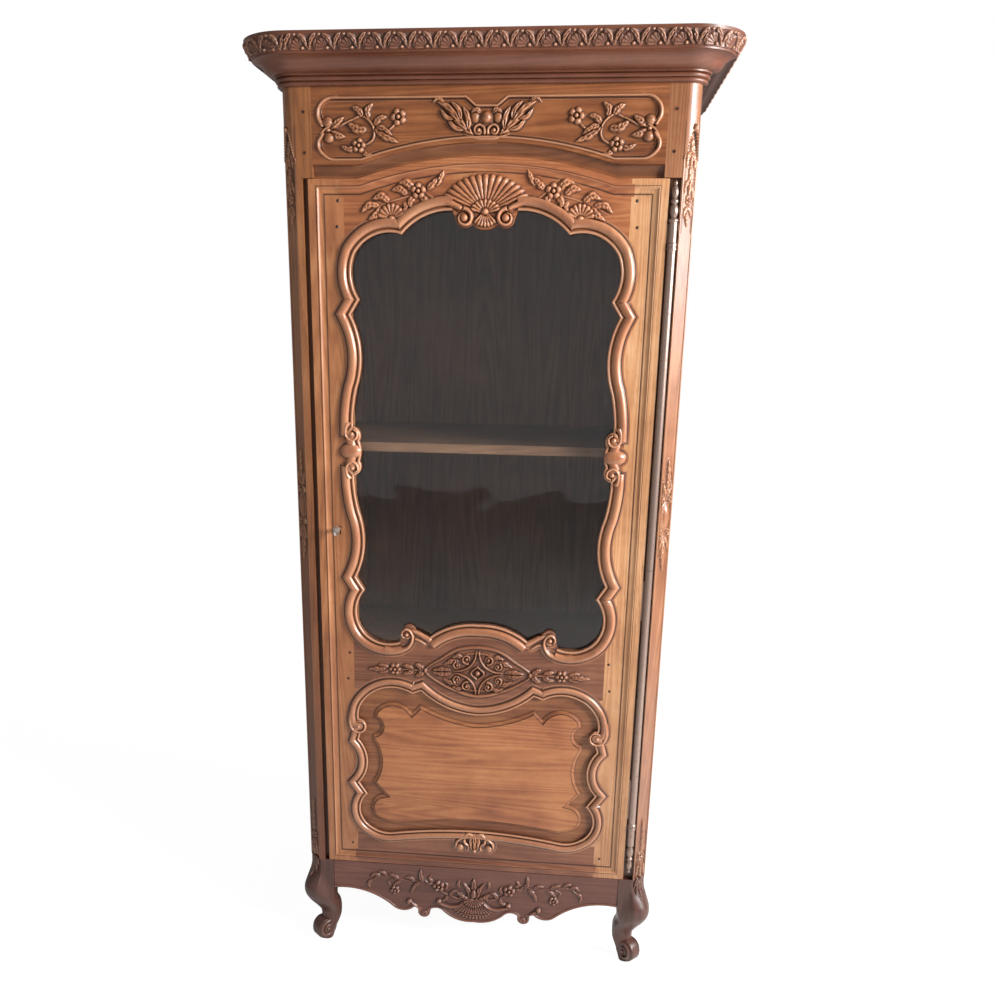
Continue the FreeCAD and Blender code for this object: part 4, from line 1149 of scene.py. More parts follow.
    def volute(self, eye: Point, outer: float, start: float, turns: float, width: float,
               height: float, button: float) -> None:
        """Adds a scroll that winds in to its eye.

        Args:
            eye: the middle of the eye.
            outer: radius at which the scroll starts.
            start: angle in degrees at which it starts.
            turns: number of turns inwards, counter-clockwise if positive.
            width: half width of the band at its start.
            height: its height there.
            button: radius of the boss in the eye.
        """
        share = np.linspace(0, 1, max(8, round(abs(turns) * 16)))
        radius = outer + (button * 0.9 - outer) * share ** 0.85
        angle = math.radians(start) + turns * math.tau * share
        path = np.column_stack([eye[0] + radius * np.cos(angle), eye[1] + radius * np.sin(angle)])
        self.stroke(path, (width, width * 0.75, width * 0.5), (height, height * 0.95, height * 0.85))
        self.dome(eye, button, button, height * 1.1)

    def fan(self, centre: Point, inner: float, outer: float, spread: tuple[float, float], ribs: int,
            height: float, squash: float = 1.0) -> None:
        """Adds a ribbed shell.

        Args:
            centre: the point from which the ribs spread.
            inner: radius at which they start.
            outer: radius of the rim.
            spread: angles in degrees of the two sides.
            ribs: number of ribs.
            height: height of the ribs at the rim.
            squash: height of the shell for its width.
        """
        area, x, z = self.around(centre, outer * 1.1)
        z = z / squash
        first, last = (math.radians(a) for a in spread)
        share = (np.arctan2(z, x) - first) % math.tau / (last - first)
        radius = np.hypot(x, z)
        rib = np.abs(np.sin(np.pi * ribs * share))
        q = radius / (outer * (0.94 + 0.06 * rib))
        rise = np.clip((radius - inner) / (outer - inner), 0, 1)
        shape = height * (0.45 + 0.55 * rise) * (0.35 + 0.65 * rib ** 0.45) * (1 - q.clip(0, 1) ** 14)
        spanned = (share > 0) & (share < 1)
        edge = np.where(spanned, np.maximum(q, 1 - (radius - inner) / outer * 4), 2.0)
        height_here = np.where((q < 1) & (radius > inner) & spanned, np.maximum(shape, 0.05), -0.5)
        self.lay(area, height_here, edge)

    def keep_out(self, line: np.ndarray) -> None:
        """Leaves out the ground, but not the carving, inside a loop such as an opening's edge."""
        self.h = np.where(enclosed(line, self.u, self.v) & (self.h < 0), NO_GROUND - 1, self.h)

    def spread_out(self, values: np.ndarray, reach_mm: float) -> np.ndarray:
        """Averages values over their neighbourhood.

        Args:
            values: the values on the grid.
            reach_mm: how far each value spreads.

        Returns:
            The averages.
        """
        for axis, pitch in ((0, self.tall or self.pitch), (1, self.pitch)):
            reach = max(1, round(reach_mm / 2 / pitch))
            kernel = np.ones(2 * reach + 1) / (2 * reach + 1)
            for _ in range(2):
                padded = np.pad(values, [(reach, reach) if k == axis else (0, 0) for k in (0, 1)], "edge")
                values = np.apply_along_axis(np.convolve, axis, padded, kernel, "valid")
        return values

    def skirted(self) -> tuple[np.ndarray, np.ndarray, np.ndarray]:
        """Lays a thin skirt of ground round the carving, which carries the dirt and painted shade at its
        foot.

        Returns:
            Heights, how far each point stands over its neighbourhood, and which points are kept.
        """
        carved = self.h > -0.3
        height = np.where(carved, self.h.clip(0.1, None), 0.1)
        whole = np.hstack([height[:, :0:-1], height]) if self.mirror else height
        dirt_and_shade = height - self.spread_out(whole, 5.0)[:, -height.shape[1]:]
        kept = self.spread_out(carved.astype(float), self.skirt) > 0.002
        return height, dirt_and_shade, kept & (self.h > NO_GROUND)

    def build(self, name: str, place: Placer, flip: bool = False) -> bpy.types.Object:
        """Cuts the carving as a closed piece.

        Args:
            name: the piece's name.
            place: the function that places a point of the grid.
            flip: whether the placer mirrors the grid.

        Returns:
            The finished object.
        """
        u, v, h, dirt_and_shade, kept = self.u, self.v, *self.skirted()
        if self.mirror:
            u = np.hstack([-u[:, :0:-1], u])
            v, h, dirt_and_shade, kept = (np.hstack([a[:, :0:-1], a]) for a in (v, h, dirt_and_shade, kept))
        piece = new_sheet(name, place(u, v, h))
        mesh = piece.data
        mark_points(mesh, dirt_and_shade)
        mesh.uv_layers.remove(mesh.uv_layers[0])
        waste = ~(kept[:-1, :-1] & kept[1:, :-1] & kept[:-1, 1:] & kept[1:, 1:]).ravel()
        with edited(piece, "DESELECT"):
            bpy.ops.mesh.select_mode(type="FACE")
        mesh.polygons.foreach_set("select", waste)
        with edited(piece, None):
            bpy.ops.mesh.delete(type="FACE")
        if flip:
            with edited(piece):
                bpy.ops.mesh.flip_normals()
        apply_modifier(piece, "SOLIDIFY", thickness=SKIN, offset=-1.0)
        smooth(piece, 75)
        return piece


# Sub-assemblies


@dataclass
class SubAssembly:
    """Pieces that are made together and ride one CAD body."""

    nodes: dict[str, bpy.types.Object]
    body: str = "cabinet"

    def copied(self, node: str) -> bpy.types.Object:
        """Copies a CAD node, to be worked on under its own name."""
        return copy_node(self.nodes[node], f"{node}_worked")

    def fit(self, piece: bpy.types.Object, finish: Finish, *nodes: str,
            slot: str = "walnut_carved") -> None:
        """Gives a finished piece its finish and its body, and hides the nodes it stands for.

        Args:
            piece: the finished object.
            finish: what it is made of.
            nodes: CAD nodes that the piece replaces.
            slot: not used.
        """
        piece.data.materials.clear()
        piece.data.materials.append(finish.material)
        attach(piece, self.body)
        if nodes:
            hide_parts(*nodes)
        log.info("%s: %d faces on %s", piece.name, len(piece.data.polygons), self.body)


@dataclass
class Door(SubAssembly):
    """The door: framed members, carved head, middle rail and panel, and its mouldings."""

    body: str = "door"
    border_drop: float = 24.0
    border_half: float = 333.0
    border_width: float = 10.9
    before: float = 4.0
    ground: Placer = flat_face(FIELD)

    def build(self) -> None:
        """Builds every piece of the door in order."""
        self.members()
        self.border()
        self.glass_mouldings()
        self.panel()
        self.head_carving()
        self.middle_carving()
        self.glass_scrolls()
        self.foot_scrolls()
        self.panel_scrolls()

    def sunk_field(self, level: float = FIELD) -> bpy.types.Object:
        """Makes the tool that sinks the door's face inside its border.

        Args:
            level: how far it reaches into the wood.

        Returns:
            A closed prism.
        """
        inset, drop = self.border_width, self.border_drop - self.border_width
        line = arch_line(drop, self.border_half + inset, drop).whole(8.0)
        points = np.column_stack([line[:, 0], np.full(len(line), -self.before), line[:, 1]])
        tool = new_piece("field_tool", points, [range(len(line))])
        return draw_out(tool, (0.0, self.before + level, 0.0))

    def members(self) -> None:
        """Sinks the face of the stiles and rails inside the border."""
        for name, finish in (("door_stile_left", Finish.STILE), ("door_stile_right", Finish.RIGHT_STILE),
                             ("door_top_rail", Finish.RAIL), ("door_middle_rail", Finish.LOW_RAIL),
                             ("door_bottom_rail", Finish.LOW_RAIL)):
            member = self.copied(name)
            cut_away(member, self.sunk_field())
            smooth(member)
            # The walls of the sunk field are darkened with painted shade.
            stain(member, lambda at, n: np.where((np.abs(n[:, 1]) < 0.5) & (at[:, 1] < FIELD), -0.8, 0.0))
            self.fit(member, finish, name)
        pegs = self.copied("door_pegs")
        cut_away(pegs, self.sunk_field(FIELD - 0.3))
        self.fit(pegs, Finish.PEG, "door_pegs", slot="peg")

    def border(self) -> None:
        """Runs the cove and bead inside the door's flat border, each length in its member's wood."""
        profile = [(-8.5, 0.08), (-6.0, 0.08), (-4.2, 0.1), (-3.8, 0.9), (-1.0, 1.1), (1.6, 1.6),
                   (4.0, 2.4), (6.0, 3.4), (7.6, 4.6), (8.0, 5.0), *half_round(8.0, 2.4, 5.0, 0.9, 5),
                   (10.5, 4.2), (10.9, 4.2), (11.2, 5.08), (12.4, 5.08), (14.5, 5.08)]
        line = arch_line(self.border_drop, self.border_half, self.border_drop).whole(8.0)
        piece = Moulding(profile, shade_lines=(-4.0, 10.7)).build("door_border", line)
        self.fit(piece, Finish.STILE)
        for finish in (Finish.RIGHT_STILE, Finish.RAIL, Finish.LOW_RAIL):
            piece.data.materials.append(finish.material)
        across, _, up = centres(piece.data).T
        cut_from = np.select([across > 288, across < -288, up > 800], [1, 0, 2], 3)
        piece.data.polygons.foreach_set("material_index", cut_from.astype(np.int32))

    def glass_mouldings(self) -> None:
        """Runs the bead and torus round the opening for the glass."""
        profile = [(-0.4, -7.0), (-0.4, -3.0), (-0.4, 0.8), *half_round(-0.4, 5.8, 1.4, 2.6, 7),
                   (5.8, 0.2), (7.0, -0.4), (8.0, 0.6), (8.4, 2.2), (9.6, 4.6), (11.6, 6.8), (14.2, 8.5),
                   (17.4, 9.4), (20.6, 9.3), (23.2, 8.2), (25.2, 6.4), (26.4, 4.4), (27.0, 2.4),
                   (27.4, 0.9), (28.4, 0.1), (30.5, 0.08), (33.5, 0.08)]
        half = GLASS_SIGHT.half()
        shell, curl, foot = (int(np.argmin(np.hypot(*(half - mark).T)))
                             for mark in ((66, 1492), (180, 575), (116, 585)))
        side, arch = half[shell:curl + 1], half[foot:]
        strip = Moulding(profile, shade_lines=(6.8, 28.2))
        for name, line in (("right", side[::-1]), ("left", side * (-1, 1)),
                           ("foot", np.vstack([arch * (-1, 1), arch[::-1][1:]]))):
            self.fit(strip.build(f"glass_moulding_{name}", line, closed=False), Finish.MOULDING)

    def panel(self) -> None:
        """Makes the fielded panel and the moulding round it."""
        profile = [(-0.4, -7.0), (-0.4, -3.0), (-0.4, 0.6), *half_round(-0.4, 4.6, 0.9, 2.3, 7),
                   (4.4, 0.0), (5.6, -0.4), (6.4, 0.6), (6.8, 2.0), (8.2, 4.4), (10.2, 6.3), (12.8, 7.5),
                   (15.4, 7.8), (17.8, 7.1), (19.6, 5.6), (20.8, 3.6), (21.3, 1.4), (22.2, 0.1),
                   (24.5, 0.08), (27.5, 0.08)]
        piece = Moulding(profile, shade_lines=(5.4, 22.0)).build("panel_moulding", PANEL_SIGHT.whole())
        self.fit(piece, Finish.MOULDING)
        line = PANEL_FIELD.whole(4.0)[::-1]
        bevel = [(0.0, 0.0), (0.2, 1.6), (2.2, 2.0), (5.0, 3.2), (7.2, 4.4), (8.0, 4.6), (9.4, 5.0),
                 (9.7, 7.2)]
        mitre, reach = Moulding(bevel).columns(line, True)
        rings = []
        for distance, height in ((0.0, -1.0), *bevel):
            place = line + mitre * np.minimum(distance, reach)[:, None]
            rings.append(np.column_stack([place[:, 0], np.full(len(line), PANEL_GROUND - height),
                                          place[:, 1]]))
        faces = ring_faces(len(rings), len(line))
        panel = close_up(new_piece("panel_field", np.vstack(rings), faces), angle=25)
        plate = primitive(bpy.ops.mesh.primitive_cube_add, "panel_plate", size=1)
        low, high = to_metres([(-295.5, PANEL_GROUND, 70.5), (295.5, 21.8, 469.5)])
        plate.data.transform(Matrix.Translation((low + high) / 2) @ Matrix.Diagonal((*(high - low), 1)))
        take(plate, panel)
        bpy.ops.object.join()
        panel.name = "door_panel_worked"
        # Painted shade darkens the sunk border and, less and more by turns, the steps of the bevel.
        stain(panel, lambda at, n: np.select(
            [np.abs(at[:, 1] - PANEL_GROUND) < 0.1,
             *((at[:, 1] > front) & (at[:, 1] < 12.1) for front in (10.15, 7.65, 5.3))],
            [-0.6, -0.95, -0.35, -1.15], 0.0))
        self.fit(panel, Finish.PANEL, "door_panel")

    def head_carving(self) -> None:
        """Carves the shell over the glass and the sprays beside it."""
        cut = Relief((0, 1440), (262, 1578), mirror=True)
        cut.stroke([(70, 1500), (100, 1512), (122, 1526)], (1.6, 2.2, 1.6), (2.5, 3, 2))
        cut.leaf([(100, 1538), (90, 1552), (84, 1566)], 7, 6, lobes=2)
        cut.leaf([(116, 1532), (104, 1543), (96, 1552)], 8, 6.5, lobes=2)
        cut.leaf([(146, 1532), (158, 1543), (176, 1541)], 10, 6.5, lobes=3)
        cut.leaf([(160, 1522), (172, 1532), (189, 1530)], 9, 6, lobes=3)
        cut.stroke([(148, 1520), (180, 1512), (215, 1500), (244, 1484)], (2.2, 2, 1.8, 1.2),
                   (3.5, 3, 3, 1.5))
        cut.leaf([(196, 1508), (210, 1519), (228, 1513)], 9, 6.5, lobes=3)
        cut.leaf([(216, 1500), (236, 1502), (252, 1488)], 8, 6, lobes=3)
        cut.leaf([(212, 1498), (222, 1484), (238, 1474)], 8, 6, lobes=3)
        cut.fan((190, 1476), 7, 30, (5, 168), 8, 8.0)
        cut.dome((190, 1477), 8, 6, 8)
        cut.leaf([(164, 1508), (160, 1499), (166, 1489)], 6, 5, lobes=2)
        cut.leaf([(130, 1520), (122, 1509), (130, 1499)], 8, 5.5, lobes=2)
        cut.leaf([(142, 1518), (152, 1508), (150, 1497)], 8, 5.5, lobes=2)
        cut.rosette((135, 1528), 16.5, 8.5, turn=90)
        cut.fan((0, 1489), 10, 95, (14, 166), 17, 9.0, squash=0.75)
        cut.fan((0, 1487), 6, 34, (10, 170), 9, 10.0, squash=0.8)
        cut.fan((0, 1492), 5, 33, (222, 318), 7, 9.0, squash=0.95)
        cut.dome((0, 1490), 8, 7, 10.5)
        cut.volute((42, 1478), 18.5, 62, 1.1, 6.0, 9.5, 9.0)
        cut.stroke([(96, 1510), (80, 1509), (62, 1503), (50, 1497)], (8.8, 8.4, 7.4, 6.2),
                   (9.2, 9.4, 9.5, 9.5))
        cut.keep_out(GLASS_SIGHT.whole())
        self.fit(cut.build("head_carving", self.ground), Finish.RAIL)

    def middle_carving(self) -> None:
        """Carves the cartouche and husks of the middle rail."""
        cut = Relief((0, 446), (262, 578), mirror=True)
        rim = [(0, 570), (22, 568), (50, 561), (82, 540), (121, 508), (82, 477), (50, 463), (22, 454),
               (0, 451)]
        cut.dome((0, 510), 104, 50, 2.2, power=4)
        cut.stroke(rim, (5, 4.6, 4.2, 3.6, 2.4, 3.6, 4.2, 4.8, 5.2), (5.5, 5.5, 5, 5, 4, 5.5, 6, 6.5, 6.5))
        cut.stroke([(0, 556), (22, 553), (50, 544), (78, 524)], (2.4, 2.2, 2, 1.2), (5, 5, 4.5, 3))
        cut.stroke([(0, 465), (22, 467), (50, 476), (78, 493)], (2.4, 2.2, 2, 1.2), (5, 5, 4.5, 3))
        for up in (1, -1):
            mid = 508
            cut.leaf([(62, mid + 4 * up), (82, mid + 6 * up), (106, mid + 2 * up)], 7, 6, lobes=3)
            cut.leaf([(44, mid + 24 * up), (60, mid + 26 * up), (80, mid + 17 * up)], 7.5, 6, lobes=3)
            cut.leaf([(30, mid + 32 * up), (44, mid + 40 * up), (60, mid + 35 * up)], 6.5, 6, lobes=3)
            cut.volute((25, mid + 33 * up), 11.5, -100 * up, 1.1 * up, 4.2, 7.5, 4.6)
            cut.volute((47, mid + 17 * up), 9.5, 60 * up, -1.1 * up, 3.8, 7, 3.8)
            cut.stroke([(3, mid + 50 * up), (7, mid + 32 * up), (19, mid + 15 * up), (38, mid + 5 * up),
                        (56, mid + 2 * up)], (2.2, 3.2, 3.6, 3.2, 2), (6.5, 8, 8.5, 8, 5))
            cut.leaf([(126, mid), (134, mid + 10 * up), (145, mid + 15 * up)], 8, 6, lobes=2)
            cut.leaf([(150, mid), (161, mid + 8 * up), (174, mid + 10 * up)], 7.5, 6, lobes=2)
            cut.leaf([(206, mid), (219, mid + 8 * up), (233, mid + 8 * up)], 6, 4.5, lobes=2)
        cut.stroke([(118, 508), (160, 509), (205, 508), (240, 507)], (2.4, 2.4, 2.2, 1.5), (4.4, 4.5, 4, 2))
        cut.leaf([(214, 508), (232, 507), (256, 506)], 7.5, 5.5, lobes=3)
        cut.rosette((192, 508), 15.5, 7.5, petals=6)
        cut.dome((121, 508), 5, 7, 6.5)
        cut.stroke([(0, 524), (15, 508), (0, 492)], (3, 3, 3), (7.5, 8, 7.5))
        cut.dome((0, 508), 7, 7, 9.5)
        self.fit(cut.build("middle_carving", self.ground), Finish.LOW_RAIL)

    def sided(self, name: str, cut: Relief) -> None:
        """Builds a carving of the mouldings on the right and its mirror image on the left.

        Args:
            name: the pieces' common name.
            cut: the carving, drawn on the right.
        """
        for side, label in SIDES:
            piece = cut.build(f"{name}_{label}", flat_face(FIELD, side), flip=side < 0)
            self.fit(piece, Finish.MOULDING)

    def glass_scrolls(self) -> None:
        """Carves the pair of curls and the boss half-way up each side of the glass."""
        cut = Relief((252, 948), (320, 1068), pitch=0.9)
        mid = 1007
        for up in (1, -1):
            cut.dome((281, mid + 36 * up), 16.5, 16.5, 8.6, power=8)
            cut.stroke([(289, mid + 62 * up), (294, mid + 48 * up), (292, mid + 31 * up),
                        (281, mid + 23.5 * up), (270.5, mid + 30 * up), (269.5, mid + 41 * up),
                        (277, mid + 46 * up)], (8.5, 6.6, 5.2, 4.6, 4.2, 3.8, 3),
                       (9.3, 10, 10.6, 10.8, 10.6, 10.2, 9.4))
            cut.dome((280.5, mid + 36.5 * up), 6.8, 6.8, 12.0)
        cut.dome((284, mid), 24, 17, 12.5, power=2.6)
        cut.keep_out(GLASS_SIGHT.whole())
        self.sided("glass_scroll", cut)

    def foot_scrolls(self) -> None:
        """Carves the curls at the foot of the glass and the beads between them."""
        cut = Relief((98, 545), (214, 628))
        cut.stroke([(152, 602), (138, 598), (126, 591), (112, 583)], (5, 6, 7, 7.5), (6, 6, 6, 6))
        cut.stroke([(156, 575), (146, 583), (134, 580), (122, 572)], (3, 4, 4, 3), (4, 5, 5, 4))
        cut.dome((163, 594), 13, 13, 7.0, power=6)
        cut.stroke([(214, 556), (198, 554), (178, 555), (162, 562), (152, 576), (150, 592),
                    (156, 603), (166, 606), (173, 600), (174, 592), (169, 586)],
                   (9.2, 9, 8.2, 7, 5.8, 4.8, 4.4, 4, 3.6, 3.2, 2.4),
                   (9.3, 9.4, 9.4, 9.6, 9.8, 10, 10, 9.8, 9.6, 9.2, 8.4))
        cut.dome((163, 594), 6.2, 6.2, 10.8)
        cut.keep_out(GLASS_SIGHT.whole())
        self.sided("foot_scroll", cut)

    def panel_scrolls(self) -> None:
        """Carves the curls and brackets of the lower panel's moulding and the husk at its foot."""
        cut = Relief((250, 300), (322, 400))
        cut.dome((279, 361), 15, 15, 6.5, power=6)
        cut.stroke([(295, 399), (298, 386), (300, 370), (294, 353), (280, 346), (267, 352),
                    (264, 365), (271, 374), (281, 373)], (8.4, 7.8, 6.6, 5.4, 4.8, 4.4, 4, 3.4, 2.6),
                   (7.7, 8, 8.4, 8.8, 8.8, 8.8, 8.6, 8.2, 7.5))
        cut.dome((280, 361), 7, 7, 9.8)
        cut.keep_out(PANEL_SIGHT.whole())
        self.sided("panel_scroll", cut)
        cut = Relief((0, 42), (66, 112), mirror=True)
        cut.stroke([(6, 92), (16, 94), (25, 86), (24, 72), (14, 62), (16, 52)],
                   (3, 4.2, 4.6, 4.6, 4.2, 3), (8, 9, 9.5, 9.5, 9, 7))
        cut.stroke([(24, 84), (34, 80), (44, 70), (44, 58), (36, 50)], (3, 4, 4.2, 3.8, 3),
                   (7.5, 8.5, 9, 9, 8))
        cut.dome((35, 57), 9.5, 9.5, 9.5)
        cut.leaf([(8, 88), (9, 70), (6, 50)], 5.5, 9, lobes=0, veins=2)
        cut.leaf([(0, 92), (0, 70), (0, 48)], 6, 10, lobes=0, veins=2)
        cut.dome((0, 49), 6, 6, 8.5)
        self.fit(cut.build("panel_husk", self.ground), Finish.MOULDING)


@dataclass
class Frieze(SubAssembly):
    """The arched top rail of the case with its sunk, carved panel."""

    cove_height: float = 24.0
    cove_depth: float = 10.5
    door_gap: float = 1.5
    half: float = 352.0
    panel_sunk: float = 3.0

    def build(self) -> None:
        """Builds the rail, the rim of its panel and the carving."""
        self.rail()
        self.rim()
        self.carving()

    def rail(self) -> None:
        """Cuts the hollow that runs along the rail's lower edge."""
        edge = arch_line(-self.door_gap, self.half).whole(6.0)[::-1]
        deep, high = self.cove_depth, self.cove_height
        turns = [math.pi / 2 * k / 10 for k in range(11)]
        hollow = [(1 + (high - 1) * math.sin(t), -deep * math.cos(t)) for t in turns]
        d, h = np.array([(-6.0, 5.0), (-6.0, -deep), *hollow, (high + 0.2, 5.0)]).T
        mitre, _ = Moulding([(1.0, 0.0)]).columns(edge, False)
        across, back = (np.broadcast_to(v, (len(edge), len(d))) for v in (d, -h))
        faces = ring_faces(*across.shape)
        tool = close_up(new_piece("cove_tool", sweep(edge, mitre, across, back), faces))
        rail = self.copied("frieze_rail")
        cut_away(rail, tool)
        smooth(rail)
        # The cove is darkened with painted shade.
        stain(rail, lambda at, n: np.where((at[:, 1] > 0.2) & (at[:, 1] < 12) & (at[:, 2] < 1625)
                                           & (n[:, 1] > -0.995), -0.62, 0.0))
        self.fit(rail, Finish.CASE_RAIL, "frieze_rail")

    def rim(self) -> None:
        """Runs the small bead and hollow inside the edge of the sunk panel."""
        profile = [(-6.0, 3.08), (-3.5, 3.08), (-1.6, 3.08), (-1.2, 2.2), (-0.4, 2.2), (0.0, 3.6),
                   (0.9, 5.0), (2.2, 5.5), (3.5, 5.0), (4.4, 3.6), (4.8, 1.6), (5.4, 0.5), (7.2, 0.5),
                   (7.9, 1.4), (9.2, 1.5), (9.8, 0.3), (12.5, 0.08), (15.0, 0.08)]
        strip = Moulding(profile, ground=self.panel_sunk, depth=2.0)
        self.fit(strip.build("frieze_rim", FRIEZE_PANEL.whole()[::-1]), Finish.CASE_RAIL)

    def carving(self) -> None:
        """Carves the cabochon, the roses on their ring stems and the corner curls."""
        cut = Relief((0, 1578), (346, 1706), mirror=True)
        cut.stroke([(266, 1658), (247, 1664), (231, 1654), (222, 1637), (226, 1621), (243, 1611)],
                   (2, 2.6, 2.6, 2.6, 2.6, 2.2), (4.5, 5.6, 5.6, 5.6, 5.6, 5))
        cut.stroke([(300, 1641), (284, 1650), (266, 1658)], (1.8, 2.4, 2), (4, 5, 4.5))
        cut.stroke([(222, 1640), (205, 1634), (190, 1641), (178, 1652)], (2.2, 2.6, 2.6, 2),
                   (4.5, 5.2, 5, 4))
        cut.leaf([(221, 1641), (201, 1627), (174, 1616)], 8.5, 6, lobes=3)
        cut.leaf([(219, 1645), (204, 1641), (187, 1629)], 7, 5.6, lobes=2)
        cut.leaf([(222, 1648), (211, 1660), (197, 1662)], 7.5, 5.6, lobes=2)
        cut.leaf([(234, 1661), (236, 1674), (225, 1686)], 7.5, 6, lobes=3)
        cut.leaf([(246, 1664), (253, 1674), (266, 1681)], 8, 6, lobes=2)
        cut.leaf([(240, 1640), (257, 1640), (275, 1652)], 10, 6.5, lobes=3)
        cut.leaf([(262, 1608), (275, 1604), (290, 1611)], 7, 5.4, lobes=2)
        cut.leaf([(246, 1602), (239, 1594), (226, 1594)], 5.5, 4.6, lobes=2)
        cut.leaf([(312, 1643), (300, 1650), (284, 1662)], 8.5, 6.5)
        cut.leaf([(312, 1636), (299, 1630), (281, 1627)], 8.5, 6.5)
        cut.rosette((174, 1662), 16.5, 8, turn=70)
        cut.rosette((254, 1611), 15, 8, turn=100)
        cut.stroke([(296, 1699), (318, 1694), (333, 1680), (335, 1662), (327, 1648)],
                   (3, 4.2, 5, 5.2, 5), (4, 5.6, 7, 7.6, 8))
        cut.stroke([(296, 1584), (318, 1589), (334, 1604), (335, 1618), (326, 1630)],
                   (3, 4.2, 5, 5.2, 5), (4, 5.6, 7, 7.6, 8))
        cut.dome((316, 1653), 11, 10.5, 9)
        cut.dome((314, 1625), 10.5, 10, 9)
        cut.dome((315, 1639), 5.5, 4.5, 7)
        cut.stroke([(0, 1622), (16, 1622), (30, 1626), (44, 1631)], (3.4, 3.4, 3, 2), (5.5, 5.5, 5, 3.5))
        cut.leaf([(27, 1630), (49, 1648), (74, 1677), (98, 1689)], 10.5, 7.6, lobes=3, cut=0.2)
        for foot, via, tip, width in (((35, 1637), (36, 1659), (46, 1679), 7.0),
                                      ((50, 1655), (54, 1672), (69, 1688), 6.0),
                                      ((43, 1637), (63, 1643), (77, 1659), 5.5),
                                      ((62, 1656), (79, 1661), (90, 1675), 5.0)):
            cut.leaf([foot, via, tip], width, 7.2, veins=2, tip=0.9)
        cut.leaf([(84, 1686), (95, 1694), (106, 1687)], 4.5, 5)
        cut.volute((15, 1637), 12.5, 200, -1.1, 4.2, 7, 5)
        cut.dome((22, 1661), 9.5, 11.5, 6.5, power=2.5)
        cut.leaf([(12, 1668), (20, 1674), (30, 1668)], 6, 6.4, lobes=2)
        cut.dome((0, 1660), 14.5, 15.5, 5.5)
        cut.dome((0, 1660), 10.5, 11.5, 10.2)
        self.fit(cut.build("frieze_carving", flat_face(self.panel_sunk)), Finish.CASE_RAIL)


